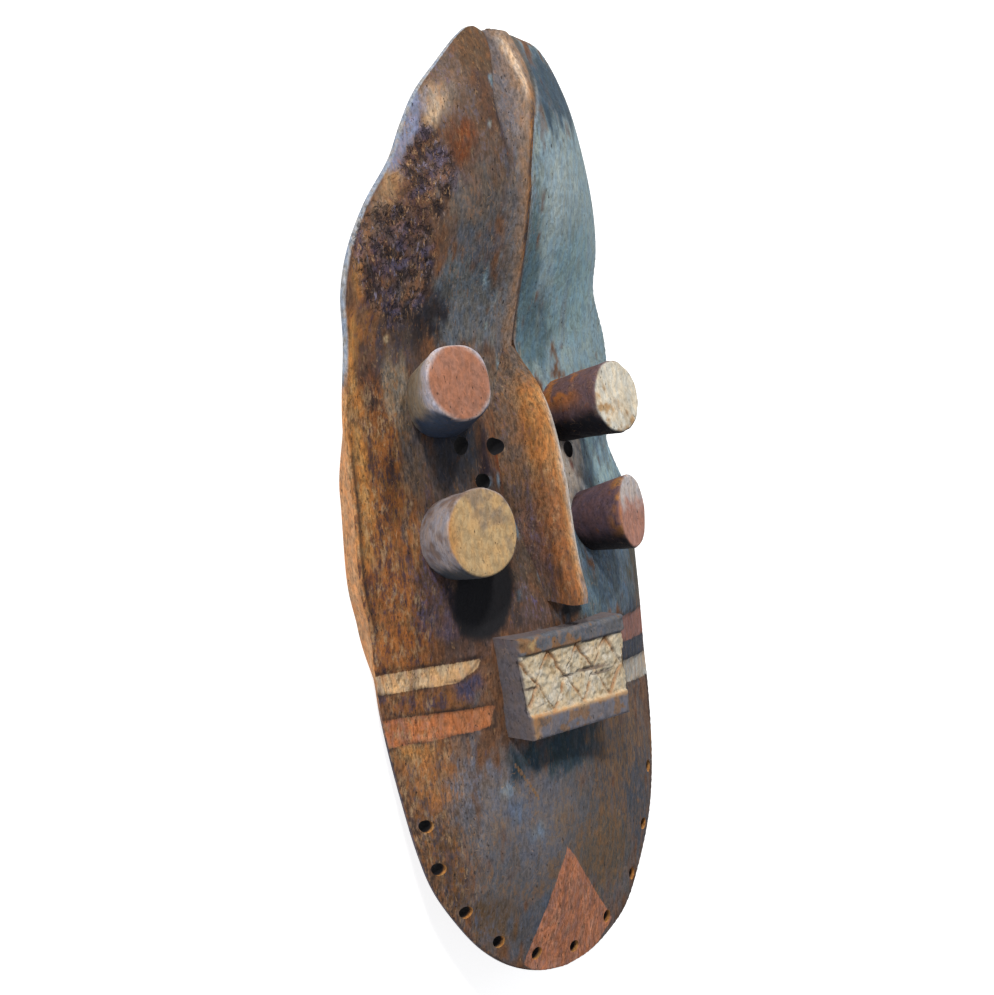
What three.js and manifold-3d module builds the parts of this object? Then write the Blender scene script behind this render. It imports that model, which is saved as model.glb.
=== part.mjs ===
// A carved wooden face mask, lying on its hollow back.
// Millimetres, +Z out of the face, +Y towards the forehead, +X to the viewer's right.
// The whole mask is one piece of wood: a curved shell with a crested forehead, four tube eyes,
// a long blade nose and a block mouth, pierced by sight holes and by lacing holes round the chin.
import * as THREE from 'three';
import { mergeVertices } from 'three/addons/utils/BufferGeometryUtils.js';
import Module from 'manifold-3d';

// Outline of the front edge, as it is seen from the front, from the chin up to the crown.
const CHIN_TIP = [12, -340];
const CROWN_TIP = [-2, 347.5];
const LEFT_EDGE = [
  [-14, -336], [-42, -325], [-67, -306], [-88, -279], [-102, -254], [-110, -226], [-116, -192],
  [-123, -145], [-129, -95], [-132, -65], [-138.5, -35], [-140, 25], [-142, 82], [-138, 135],
  [-139, 168], [-132, 198], [-116, 229], [-94, 258], [-84, 280], [-71, 303], [-51, 324],
  [-30, 344], [-19, 350],
];
const RIGHT_EDGE = [
  [38, -337], [60, -330], [88, -315], [113, -287], [135, -252], [148, -215], [156, -165],
  [157, -125], [152, -60], [145, -5], [139, 14], [132, 27], [124.5, 44], [126, 60], [130, 82],
  [127, 122], [115.5, 160], [118.5, 190], [114.5, 223], [98, 272], [80, 306], [52, 337],
  [31, 344], [15, 347],
];

// Middle of the face, as [y, x]: straight, and bent a little towards both tips.
const MIDDLE_LINE = [
  [...CHIN_TIP].reverse(), [-325, 7], [-280, 0], [0, 0], [322, 0], [...CROWN_TIP].reverse(),
];

// Rim: flat underneath in the middle, lifting towards the crown and the chin. Its front edge
// swells a little beside the eyes. Its side has a narrow land and is undercut below that, less so
// along the flange beside the eyes.
const RIM = { height: 15, swell: 2, swellMiddle: -10, swellSpread: 90, land: 2, undercut: 12 };
const CROWN_LIFT = { start: 75, length: 275, height: 20, power: 1.5 };
const CHIN_LIFT = { start: -120, length: 220, height: 33, power: 1.3 };
const FLANGE = { low: -92, high: 58, blend: 56, inset: 2.5 };

// Height of the face along its centre line, as [y, z], without the crest.
const CENTRE_LINE = [
  [-341, 47], [-325, 50], [-290, 58], [-245, 66], [-200, 69], [-150, 70], [-100, 74], [-70, 72],
  [-45, 66], [-15, 57], [10, 50], [40, 46], [80, 41], [100, 37], [125, 34], [157, 40], [191, 51],
  [240, 63], [275, 65], [310, 56], [338, 44], [350, 38],
];

// How full the arch across the face is: at the forehead, at the chin, and where one turns into
// the other.
const ROUNDNESS = { forehead: 2.1, chin: 1.6, from: -60, to: -150 };

// Hollow back: its brim's distance inside the outline, the wall behind the face and how much
// more of it may lie upright under a steep slope, the fullness of its ceiling, the least height
// of that over the rim's underside, and how far the cut runs out below.
const CAVITY = { brim: 16, wall: 14, steepest: 1.35, roundness: 2, least: 1.5, past: 12 };

// Crest down the middle of the forehead: its height above the face, its middle and its reach to
// the right, each as [y, value]. It falls away gently to the left and steeply to the right.
const CREST_HEIGHT = [
  [110, 0], [125, 2.5], [157, 5], [191, 6.5], [240, 8], [310, 8], [343, 6], [352, 4],
];
const CREST_MIDDLE = [
  [110, 0.5], [157, 1], [192, -1], [226, -4], [253, -5], [275, -3], [295, 1], [316, 4], [340, 4],
];
const CREST_REACH = [
  [110, 4], [157, 5], [226, 6], [275, 6.5], [295, 10], [327, 11], [340, 9],
];
const CREST_FALL = { leftReach: 10, leftPower: 2, rightPower: 4 };

// Hollow between the crest and the left half of the crown, whose brink is given as [y, x],
// and the small notch in the crown where that hollow runs out.
const HOLLOW = { depth: 6, from: 250, full: 325, foot: 6, brinkBlend: 2, footBlend: 4 };
const HOLLOW_BRINK = [[250, -18], [300, -20], [318, -14], [335, -10], [350, -9]];
const NOTCH = { x: -9.3, y: 343.5, width: 8, past: 5, height: 80 };

// Nose: a blade that stands up from the brow to above the mouth. Its top is given as [y, z], and
// the half width of its foot and of its top as [y, width]. The tip overhangs its foot a little.
const NOSE_TOP = [
  [-61, 94], [-55, 94], [-46, 92], [-35, 89], [-17, 85], [13, 80.5], [43, 75.5], [73, 68],
  [89, 61.5], [104, 51.5], [113, 43], [120, 37.5], [128, 33],
];
const NOSE_FOOT = [
  [-61, 11], [-45, 12], [-25, 16], [-8, 20], [15, 25], [51, 27], [86, 23], [110, 12], [128, 4],
];
const NOSE_EDGE = [[-61, 9], [-50, 9], [-30, 9.5], [0, 10], [60, 10], [95, 8], [128, 7]];
const NOSE = { middle: 1, overhang: 2.5, stations: 18 };

// The nose's cross-section: a rounded top, an edge on each side that drops by a share of the
// rise, a flank that flares, and a foot sunk into the face.
const NOSE_SECTION = {
  edgeShare: 0.8, edgeDrop: 0.3, tallest: 12, crown: 1.5, roundShare: 0.6, round: 0.8,
  flankShare: 0.45, flankHeight: 0.35, footSunk: 3, rootSunk: 14, capLift: 4,
};

// Eye tubes: middle of the foot and of the end, radius at each, and the way the end face looks.
const TUBES = [
  { foot: [-71, 90, 37], end: [-95, 104, 82], radii: [26, 27], facing: [-0.12, 0.20, 0.97] },
  { foot: [-70, -7, 44], end: [-85, 1, 86], radii: [29.5, 31], facing: [-0.08, 0.10, 0.99] },
  { foot: [50, 73, 39], end: [57, 83, 88], radii: [23, 26.5], facing: [0.10, 0.15, 0.98] },
  { foot: [63, -11, 46], end: [66, -2, 90], radii: [22.5, 27.5], facing: [0.37, 0.10, 0.92] },
];
const TUBE = { sides: 28, sunk: 24, rounding: 2.5, bendPlace: 0.6, bendTurn: 0.3, bendWidth: 0.45 };

// Mouth: a block with two lips and, between them, two rows of pointed teeth and a slit. Teeth
// and slit are placed by their share of the block's width.
const MOUTH = {
  front: 88, foot: 40, topLeft: [-59, -78], topRight: [53, -77], bottomRight: [55, -152],
  bottomLeft: [-46, -152], rounding: 3,
};
const LIPS = { upper: 12, lower: 18, recess: 3, past: 0.1 };
const TEETH = {
  count: 4, first: -0.03, pitch: 0.28, height: 1.6, gap: 1.2, margin: 0.012, sunk: 1,
};
const SLIT = { width: 3, from: 0.36, to: 0.92 };
const CUT_CLEARANCE = 1;

// Shallow painted bands let into the cheeks: the long top and bottom edges of each, both running
// from -X to +X. Each cut stands clear of the face above and follows it in steps.
const BAND = { depth: 1.4, clearance: 6, steps: 8 };
const BANDS = [
  { top: [[-134, -96], [-66, -90]], bottom: [[-129, -112], [-78, -106]] },
  { top: [[-125, -129], [-57, -126]], bottom: [[-122, -150], [-55, -143]] },
  { top: [[50, -84], [158, -92]], bottom: [[50, -103], [160, -115]] },
  { top: [[50, -119], [160, -129]], bottom: [[50, -138], [158, -148]] },
];

// Round holes: five to see through, three to the left of the nose and two to its right, and ten
// for lacing, round the chin.
const SIGHT_HOLES = [[-57, 57], [-28, 54], [-42, 30], [53, 44], [26, 46]];
const SIGHT_DIAMETER = 13;
const CHIN_HOLES = [
  [-104, -208], [-98, -240], [-80, -275], [-54, -303], [-19, -321], [21, -327], [61, -315],
  [98, -292], [120, -258], [136, -216],
];
const CHIN_DIAMETER = 9.5;
const HOLE = { sides: 12, length: 160, middle: 40 };

// How finely the surfaces are cut into facets, and the distance over which slopes are measured.
const ROWS = 60;
const CAVITY_ROWS = 36;
const COLUMNS = [0, 0.03, 0.07, 0.11, 0.19, 0.3, 0.42, 0.54, 0.66, 0.78, 0.9, 1];
const CAVITY_COLUMNS = [0, 0.2, 0.4, 0.6, 0.8, 1];
const OUTLINE_STEPS = 600;
const SLOPE_STEP = 2;
const TINY = 1e-3;

const WOOD = new THREE.MeshStandardMaterial({ color: 0x6a4a36, roughness: 0.85, metalness: 0 });

const wasm = await Module();
wasm.setup();

const lerp = (a, b, t) => a + (b - a) * t;
const clamp01 = (t) => Math.min(1, Math.max(0, t));
const ease = (from, to, x) => {
  const t = clamp01((x - from) / (to - from));
  return t * t * (3 - 2 * t);
};
const withHeight = (point, z) => new THREE.Vector3(point.x, point.y, z);

// A smooth curve through [position, value] pairs, held level past its ends.
function smoothCurve(pairs) {
  const sorted = [...pairs].sort((a, b) => a[0] - b[0]);
  const last = sorted.length - 1;
  const chord = (i) => (sorted[i + 1][1] - sorted[i][1]) / (sorted[i + 1][0] - sorted[i][0]);
  const slope = sorted.map((pair, i) => {
    if (i === 0) return chord(0);
    if (i === last) return chord(last - 1);
    const before = pair[0] - sorted[i - 1][0];
    const after = sorted[i + 1][0] - pair[0];
    return (chord(i - 1) * after + chord(i) * before) / (before + after);
  });
  return (position) => {
    const held = Math.min(sorted[last][0], Math.max(sorted[0][0], position));
    let i = 0;
    while (i < last - 1 && held > sorted[i + 1][0]) i += 1;
    const step = sorted[i + 1][0] - sorted[i][0];
    const t = (held - sorted[i][0]) / step;
    const rise = 3 * t * t - 2 * t * t * t;
    return (1 - rise) * sorted[i][1] + rise * sorted[i + 1][1]
      + step * (t * (1 - t) * (1 - t) * slope[i] - t * t * (1 - t) * slope[i + 1]);
  };
}

const middleAt = smoothCurve(MIDDLE_LINE);
const centreHeight = smoothCurve(CENTRE_LINE);
const crestHeight = smoothCurve(CREST_HEIGHT);
const crestMiddle = smoothCurve(CREST_MIDDLE);
const crestReach = smoothCurve(CREST_REACH);
const hollowBrink = smoothCurve(HOLLOW_BRINK);
const noseTop = smoothCurve(NOSE_TOP);
const noseFoot = smoothCurve(NOSE_FOOT);
const noseEdge = smoothCurve(NOSE_EDGE);

// One side of the outline, cut into equal steps from the chin to the crown.
function outlineSide(points, count) {
  const ends = [CHIN_TIP, ...points, CROWN_TIP].map(([x, y]) => new THREE.Vector3(x, y, 0));
  return new THREE.CatmullRomCurve3(ends, false, 'centripetal').getSpacedPoints(count);
}

// The outline's x for any y, read off a finely stepped side up to its highest point.
function sideReader(points) {
  const steps = outlineSide(points, OUTLINE_STEPS);
  const peak = steps.reduce((best, point, i) => (point.y > steps[best].y ? i : best), 0);
  const fine = steps.slice(0, peak + 1).map((point) => [point.y, point.x]).sort((a, b) => a[0] - b[0]);
  return (y) => {
    let i = 0;
    while (i < fine.length - 2 && y > fine[i + 1][0]) i += 1;
    const t = clamp01((y - fine[i][0]) / Math.max(fine[i + 1][0] - fine[i][0], TINY));
    return lerp(fine[i][1], fine[i + 1][1], t);
  };
}

const leftAt = sideReader(LEFT_EDGE);
const rightAt = sideReader(RIGHT_EDGE);

// The underside of the rim, flat in the middle and lifting at both ends.
function underHeight(y) {
  const crown = clamp01((y - CROWN_LIFT.start) / CROWN_LIFT.length) ** CROWN_LIFT.power;
  const chin = clamp01((CHIN_LIFT.start - y) / CHIN_LIFT.length) ** CHIN_LIFT.power;
  return CROWN_LIFT.height * crown + CHIN_LIFT.height * chin;
}

// The front edge of the rim.
function edgeHeight(y) {
  const swell = RIM.swell * Math.exp(-(((y - RIM.swellMiddle) / RIM.swellSpread) ** 2));
  return underHeight(y) + RIM.height + swell;
}

// Share of the way from the middle of the face, 0, to its edge, 1.
function shareAt(x, y) {
  const middle = middleAt(y);
  const reach = (x < middle ? leftAt(y) : rightAt(y)) - middle;
  return Math.abs(reach) < TINY ? 1 : clamp01((x - middle) / reach);
}

// The front of the face: an arch from edge to edge, with the crest and the hollow beside it.
function faceHeight(x, y) {
  const roundness = lerp(ROUNDNESS.forehead, ROUNDNESS.chin, ease(ROUNDNESS.from, ROUNDNESS.to, y));
  const arch = 1 - shareAt(x, y) ** roundness;
  const aside = x - crestMiddle(y);
  const fall = aside > 0
    ? (aside / crestReach(y)) ** CREST_FALL.rightPower
    : (aside / CREST_FALL.leftReach) ** CREST_FALL.leftPower;
  const crest = y > CREST_HEIGHT[0][0] ? crestHeight(y) * Math.exp(-fall) : 0;
  const brink = hollowBrink(y);
  const foot = crestMiddle(y) - HOLLOW.foot;
  const hollow = HOLLOW.depth * ease(HOLLOW.from, HOLLOW.full, y)
    * ease(brink - HOLLOW.brinkBlend, brink + HOLLOW.brinkBlend, x)
    * (1 - ease(foot - HOLLOW.footBlend, foot + HOLLOW.footBlend, x));
  return lerp(edgeHeight(y), centreHeight(y), arch) + crest - hollow;
}

// The ceiling of the hollow back: a smooth arch, one wall behind the face.
function ceilingHeight(x, y) {
  const slopeX = (faceHeight(x + SLOPE_STEP, y) - faceHeight(x - SLOPE_STEP, y)) / (2 * SLOPE_STEP);
  const slopeY = (faceHeight(x, y + SLOPE_STEP) - faceHeight(x, y - SLOPE_STEP)) / (2 * SLOPE_STEP);
  const wall = CAVITY.wall * Math.min(CAVITY.steepest, Math.hypot(1, slopeX, slopeY));
  const arch = 1 - shareAt(x, y) ** CAVITY.roundness;
  return Math.max(lerp(edgeHeight(y), centreHeight(y), arch) - wall, underHeight(y) + CAVITY.least);
}

// The outline moved inwards by a distance that may change along it.
function insetOutline(side, distanceAt) {
  return side.map((point, i) => {
    const before = side[Math.max(0, i - 1)];
    const after = side[Math.min(side.length - 1, i + 1)];
    const along = new THREE.Vector3().subVectors(after, before).normalize();
    const inwards = new THREE.Vector3(along.y, -along.x, 0);
    return point.clone().addScaledVector(inwards, distanceAt(point.y));
  });
}

// Both sides of an inset outline, with the end points that they share moved along Y.
function insetPair(count, distanceAt) {
  const left = insetOutline(outlineSide(LEFT_EDGE, count), distanceAt);
  const right = insetOutline(outlineSide(RIGHT_EDGE, count), (y) => -distanceAt(y));
  const chin = new THREE.Vector3(CHIN_TIP[0], CHIN_TIP[1] + distanceAt(CHIN_TIP[1]), 0);
  const crown = new THREE.Vector3(CROWN_TIP[0], CROWN_TIP[1] - distanceAt(CROWN_TIP[1]), 0);
  [left, right].forEach((side) => {
    side[0] = chin;
    side[count] = crown;
  });
  return { left, right };
}

// Collects triangles by their corner points.
class Shell {
  constructor() {
    this.corners = [];
  }

  triangle(a, b, c) {
    this.corners.push(a.x, a.y, a.z, b.x, b.y, b.z, c.x, c.y, c.z);
  }

  quad(a, b, c, d) {
    this.triangle(a, b, c);
    this.triangle(a, c, d);
  }

  // Joins two runs of points, the second lying to the left of the first as it is followed.
  strip(first, second) {
    for (let i = 0; i + 1 < first.length; i += 1) {
      this.quad(first[i], first[i + 1], second[i + 1], second[i]);
    }
  }

  // Joins two closed rings of points.
  ring(first, second) {
    this.strip([...first, first[0]], [...second, second[0]]);
  }

  // Closes a ring with a fan round one point.
  cap(ring, middle) {
    ring.forEach((point, i) => this.triangle(point, ring[(i + 1) % ring.length], middle));
  }

  solid() {
    const geometry = new THREE.BufferGeometry();
    geometry.setAttribute('position', new THREE.Float32BufferAttribute(this.corners, 3));
    return toSolid(geometry);
  }
}

// Merges a geometry's shared corners, drops flat triangles and makes a solid of it.
function toSolid(geometry) {
  const bare = geometry.clone();
  bare.deleteAttribute('normal');
  bare.deleteAttribute('uv');
  const merged = mergeVertices(bare, TINY);
  const index = merged.index.array;
  const triangles = [];
  for (let i = 0; i < index.length; i += 3) {
    const [a, b, c] = [index[i], index[i + 1], index[i + 2]];
    if (a !== b && b !== c && c !== a) triangles.push(a, b, c);
  }
  return new wasm.Manifold(new wasm.Mesh({
    numProp: 3,
    vertProperties: new Float32Array(merged.attributes.position.array),
    triVerts: new Uint32Array(triangles),
  }));
}

// A block under a curved top: rows of the top, side walls through the given levels, a flat floor.
function domed(left, right, columns, topAt, levels) {
  const shell = new Shell();
  const shares = [...columns.slice(1).reverse().map((share) => -share), ...columns];
  const rows = left.map((start, i) => {
    const end = right[i];
    const y = (start.y + end.y) / 2;
    const middle = new THREE.Vector3(middleAt(y), y, 0);
    return shares.map((share) => {
      const point = middle.clone().lerp(share < 0 ? start : end, Math.abs(share));
      return withHeight(point, topAt(point.x, point.y));
    });
  });
  const last = rows.length - 1;
  [0, last].forEach((end) => {
    const tip = left[end];
    rows[end] = rows[end].map(() => withHeight(tip, topAt(tip.x, tip.y)));
  });
  for (let i = 0; i < last; i += 1) shell.strip(rows[i], rows[i + 1]);
  let leftWall = rows.map((row) => row[0]);
  let rightWall = rows.map((row) => row[row.length - 1]);
  levels.forEach((level) => {
    const nextLeft = level.left.map((point) => withHeight(point, level.height(point.y)));
    const nextRight = level.right.map((point) => withHeight(point, level.height(point.y)));
    shell.strip(leftWall, nextLeft);
    shell.strip(nextRight, rightWall);
    leftWall = nextLeft;
    rightWall = nextRight;
  });
  shell.strip(leftWall, rightWall);
  return shell.solid();
}

// The solid outer body, before it is hollowed.
function outerBody() {
  const edge = insetPair(ROWS, () => 0);
  const half = FLANGE.blend / 2;
  const undercut = (y) => {
    const beside = ease(FLANGE.low - half, FLANGE.low + half, y)
      * (1 - ease(FLANGE.high - half, FLANGE.high + half, y));
    return lerp(RIM.undercut, FLANGE.inset, beside);
  };
  return domed(edge.left, edge.right, COLUMNS, faceHeight, [
    { ...edge, height: (y) => edgeHeight(y) - RIM.land },
    { ...insetPair(ROWS, undercut), height: underHeight },
  ]);
}

// What is cut away for the hollow back.
function cavity() {
  const brim = insetPair(CAVITY_ROWS, () => CAVITY.brim);
  return domed(brim.left, brim.right, CAVITY_COLUMNS, ceilingHeight, [
    { ...brim, height: (y) => underHeight(y) - CAVITY.past },
  ]);
}

// An eye tube: rings from its sunk foot to its end, turning from the axis to the end face.
function tube({ foot, end, radii, facing }) {
  const from = new THREE.Vector3(...foot);
  const to = new THREE.Vector3(...end);
  const axis = new THREE.Vector3().subVectors(to, from).normalize();
  const look = new THREE.Vector3(...facing).normalize();
  const ringAt = (centre, normal, radius) => {
    const turn = new THREE.Quaternion().setFromUnitVectors(new THREE.Vector3(0, 0, 1), normal);
    return Array.from({ length: TUBE.sides }, (_, i) => {
      const angle = (2 * Math.PI * i) / TUBE.sides;
      const spoke = new THREE.Vector3(radius * Math.cos(angle), radius * Math.sin(angle), 0);
      return spoke.applyQuaternion(turn).add(centre);
    });
  };
  const root = from.clone().addScaledVector(axis, -TUBE.sunk);
  const bendNormal = axis.clone().lerp(look, TUBE.bendTurn).normalize();
  const rings = [
    ringAt(root, axis, radii[0]),
    ringAt(from, axis, radii[0]),
    ringAt(from.clone().lerp(to, TUBE.bendPlace), bendNormal, lerp(...radii, TUBE.bendWidth)),
    ringAt(to.clone().addScaledVector(look, -TUBE.rounding), look, radii[1]),
    ringAt(to, look, radii[1] - TUBE.rounding),
  ];
  const shell = new Shell();
  for (let i = 0; i + 1 < rings.length; i += 1) shell.ring(rings[i], rings[i + 1]);
  shell.cap(rings[rings.length - 1], to);
  shell.cap([...rings[0]].reverse(), root);
  return shell.solid();
}

// The right half of the nose's cross-section at y, from its top down, as [aside, z].
function noseHalf(y, top, base) {
  const rise = Math.max(top - base, 1);
  const foot = noseFoot(y);
  const edge = Math.min(noseEdge(y), foot * NOSE_SECTION.edgeShare);
  return [
    [0, top + NOSE_SECTION.crown],
    [edge * NOSE_SECTION.roundShare, top + NOSE_SECTION.round],
    [edge, top - NOSE_SECTION.edgeDrop * Math.min(rise, NOSE_SECTION.tallest)],
    [lerp(edge, foot, NOSE_SECTION.flankShare), base + NOSE_SECTION.flankHeight * rise],
    [foot, base - NOSE_SECTION.footSunk],
    [foot, base - NOSE_SECTION.rootSunk],
  ];
}

// The nose: cross-sections from the overhanging tip up to the brow.
function nose() {
  const [low, high] = [NOSE_TOP[0][0], NOSE_TOP[NOSE_TOP.length - 1][0]];
  const sections = Array.from({ length: NOSE.stations + 1 }, (_, i) => {
    const y = lerp(low, high, i / NOSE.stations);
    const top = noseTop(y);
    const base = faceHeight(0, y);
    const half = noseHalf(y, top, base);
    const overhang = i === 0 ? NOSE.overhang : 0;
    const along = (z) => y + overhang * clamp01((top - z) / Math.max(top - base, 1));
    const left = half.slice(1).map(([x, z]) => new THREE.Vector3(NOSE.middle - x, along(z), z));
    const right = half.map(([x, z]) => new THREE.Vector3(NOSE.middle + x, along(z), z));
    return [...left.reverse(), ...right];
  });
  const middleOf = (section) => {
    const between = section[0].clone().lerp(section[section.length - 1], 0.5);
    return withHeight(between, section[0].z + NOSE_SECTION.capLift);
  };
  const shell = new Shell();
  for (let i = 0; i < NOSE.stations; i += 1) shell.ring(sections[i], sections[i + 1]);
  shell.cap([...sections[0]].reverse(), middleOf(sections[0]));
  shell.cap(sections[NOSE.stations], middleOf(sections[NOSE.stations]));
  return shell.solid();
}

// A straight-sided prism over a polygon of [x, y] corners, anticlockwise, between two heights.
function prism(corners, low, high) {
  const outline = new THREE.Shape(corners.map(([x, y]) => new THREE.Vector2(x, y)));
  const geometry = new THREE.ExtrudeGeometry(outline, { depth: high - low, bevelEnabled: false });
  geometry.translate(0, 0, low);
  return toSolid(geometry);
}

// The mouth block's depth from top to bottom, and the level of the recess between its lips.
const MOUTH_DEPTH = MOUTH.topLeft[1] - MOUTH.bottomLeft[1];
const RECESS_FLOOR = MOUTH.front - LIPS.recess;

// A point of the mouth's front, by its share across, 0 to 1, and its distance down from the top.
function mouthPoint(across, down) {
  const left = lerp(MOUTH.topLeft[0], MOUTH.bottomLeft[0], down / MOUTH_DEPTH);
  const right = lerp(MOUTH.topRight[0], MOUTH.bottomRight[0], down / MOUTH_DEPTH);
  const top = lerp(MOUTH.topLeft[1], MOUTH.topRight[1], across);
  return [lerp(left, right, across), top - down];
}

// A four-sided stretch of the mouth's front, by shares across and distances down.
function mouthStretch(from, to, upper, lower) {
  return [
    mouthPoint(from, lower), mouthPoint(to, lower), mouthPoint(to, upper), mouthPoint(from, upper),
  ];
}

// The upper and lower teeth, as triangles that stand in the recess and meet point to point. The
// first and the last ones are cut short by the block's ends.
function teeth(zoneTop, zoneBottom) {
  const middle = (zoneTop + zoneBottom) / 2;
  const corners = [];
  for (let i = 0; i < TEETH.count; i += 1) {
    const from = TEETH.first + i * TEETH.pitch;
    const start = Math.max(from, 0) + TEETH.margin;
    const end = Math.min(from + TEETH.pitch, 1) - TEETH.margin;
    const point = from + TEETH.pitch / 2;
    corners.push([
      mouthPoint(start, zoneTop - TEETH.sunk), mouthPoint(point, middle - TEETH.gap),
      mouthPoint(end, zoneTop - TEETH.sunk),
    ]);
    corners.push([
      mouthPoint(start, zoneBottom + TEETH.sunk), mouthPoint(end, zoneBottom + TEETH.sunk),
      mouthPoint(point, middle + TEETH.gap),
    ]);
  }
  return corners.map((tooth) => prism(tooth, RECESS_FLOOR - TEETH.sunk, RECESS_FLOOR + TEETH.height));
}

// The mouth: the block, let in between the lips, with its teeth and the slit between them.
function mouth() {
  const cut = MOUTH.rounding;
  const share = cut / (MOUTH.topRight[0] - MOUTH.topLeft[0]);
  const corners = [
    mouthPoint(0, MOUTH_DEPTH - cut), mouthPoint(share, MOUTH_DEPTH),
    mouthPoint(1 - share, MOUTH_DEPTH), mouthPoint(1, MOUTH_DEPTH - cut),
    mouthPoint(1, cut), mouthPoint(1 - share, 0), mouthPoint(share, 0), mouthPoint(0, cut),
  ];
  const zoneTop = LIPS.upper;
  const zoneBottom = MOUTH_DEPTH - LIPS.lower;
  const middle = (zoneTop + zoneBottom) / 2;
  const recess = mouthStretch(-LIPS.past, 1 + LIPS.past, zoneTop, zoneBottom);
  const slit = mouthStretch(SLIT.from, SLIT.to, middle - SLIT.width / 2, middle + SLIT.width / 2);
  let block = prism(corners, MOUTH.foot, MOUTH.front)
    .subtract(prism(recess, RECESS_FLOOR, MOUTH.front + CUT_CLEARANCE));
  teeth(zoneTop, zoneBottom).forEach((tooth) => {
    block = block.add(tooth);
  });
  const slitTop = RECESS_FLOOR + TEETH.height + CUT_CLEARANCE;
  return block.subtract(prism(slit, RECESS_FLOOR - SLIT.width, slitTop));
}

// What is cut away for one cheek band: a slab that follows the face to the band's depth.
function bandCut({ top, bottom }) {
  const pointOn = ([from, to], t) => [lerp(from[0], to[0], t), lerp(from[1], to[1], t)];
  const runAt = (across, lift) => Array.from({ length: BAND.steps + 1 }, (_, i) => {
    const lower = new THREE.Vector3(...pointOn(bottom, i / BAND.steps), 0);
    const upper = new THREE.Vector3(...pointOn(top, i / BAND.steps), 0);
    const point = lower.lerp(upper, across);
    return withHeight(point, faceHeight(point.x, point.y) + lift);
  });
  const loops = [
    runAt(0, -BAND.depth), runAt(0.5, -BAND.depth), runAt(1, -BAND.depth),
    runAt(1, BAND.clearance), runAt(0, BAND.clearance),
  ];
  const shell = new Shell();
  loops.forEach((loop, i) => shell.strip(loops[(i + 1) % loops.length], loop));
  [0, BAND.steps].forEach((end) => {
    const ring = loops.map((loop) => loop[end]);
    const middle = ring[0].clone().lerp(ring[3], 0.5);
    shell.cap(end === 0 ? ring.reverse() : ring, middle);
  });
  return shell.solid();
}

// A round hole straight through the shell.
function hole([x, y], diameter) {
  const geometry = new THREE.CylinderGeometry(diameter / 2, diameter / 2, HOLE.length, HOLE.sides);
  geometry.rotateX(Math.PI / 2);
  geometry.translate(x, y, HOLE.middle);
  return toSolid(geometry);
}

// What is cut away for the notch in the crown.
function notchCut() {
  const beyond = CROWN_TIP[1] + NOTCH.past;
  const half = (NOTCH.width / 2) * ((beyond - NOTCH.y) / (CROWN_TIP[1] - NOTCH.y));
  const corners = [[NOTCH.x, NOTCH.y], [NOTCH.x + half, beyond], [NOTCH.x - half, beyond]];
  return prism(corners, 0, NOTCH.height);
}

// The finished piece of wood. The bands are let into the face before the mouth stands on it, so
// that the inner ends of the right-hand ones stop at its side.
function carve() {
  const cutAll = (wood, cuts) => cuts.reduce((rest, cut) => rest.subtract(cut), wood);
  const face = cutAll(outerBody(), BANDS.map(bandCut));
  const whole = [nose(), mouth(), ...TUBES.map(tube)].reduce((wood, form) => wood.add(form), face);
  return cutAll(whole, [
    cavity(), notchCut(),
    ...SIGHT_HOLES.map((place) => hole(place, SIGHT_DIAMETER)),
    ...CHIN_HOLES.map((place) => hole(place, CHIN_DIAMETER)),
  ]);
}

// A mesh of the solid, with its lowest point on the ground and its box centred on the origin.
function toMesh(solid, name, material) {
  const { vertProperties, triVerts } = solid.getMesh();
  const geometry = new THREE.BufferGeometry();
  geometry.setAttribute('position', new THREE.BufferAttribute(new Float32Array(vertProperties), 3));
  geometry.setIndex(new THREE.BufferAttribute(new Uint32Array(triVerts), 1));
  geometry.computeBoundingBox();
  const { min, max } = geometry.boundingBox;
  geometry.translate(-(min.x + max.x) / 2, -(min.y + max.y) / 2, -min.z);
  geometry.computeVertexNormals();
  const mesh = new THREE.Mesh(geometry, material);
  mesh.name = name;
  return mesh;
}

const mask = new THREE.Group();
mask.add(toMesh(carve(), 'mask', WOOD));

export default mask;
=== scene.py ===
"""A carved and painted wooden face mask that lies on its hollow back on a pale studio floor.

Shapes are worked out in millimetres in the carver's frame, where +Y runs up the face, +X to the
viewer's right and +Z out of the face, and are put into the meshes in metres in the row frame.
"""

import logging
import math
from collections.abc import Callable, Sequence
from dataclasses import dataclass
from enum import Enum, IntEnum

import bpy
import numpy as np
from mathutils import Matrix


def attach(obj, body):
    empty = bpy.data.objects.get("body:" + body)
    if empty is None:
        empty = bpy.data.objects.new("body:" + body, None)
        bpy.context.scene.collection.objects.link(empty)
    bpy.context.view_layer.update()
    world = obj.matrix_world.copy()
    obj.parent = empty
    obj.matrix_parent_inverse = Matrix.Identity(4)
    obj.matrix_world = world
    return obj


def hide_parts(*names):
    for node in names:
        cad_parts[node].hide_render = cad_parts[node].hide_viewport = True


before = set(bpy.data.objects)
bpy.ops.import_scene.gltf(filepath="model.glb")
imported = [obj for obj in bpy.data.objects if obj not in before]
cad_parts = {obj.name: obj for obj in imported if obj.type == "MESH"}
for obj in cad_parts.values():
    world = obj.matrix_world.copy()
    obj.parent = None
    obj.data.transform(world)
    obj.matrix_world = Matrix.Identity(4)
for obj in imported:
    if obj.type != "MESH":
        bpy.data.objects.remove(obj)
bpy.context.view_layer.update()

Array = np.ndarray
LOG = logging.getLogger("mask")
MM = 0.001
TINY = 1e-3
PAINT_VALUE = 0.62
DRY_SPECULAR = 0.25
SIGHT_HOLE_DIAMETER = 12.6
CHIN_HOLE_DIAMETER = 9.5
ROW_WIDTH = 110

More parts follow.
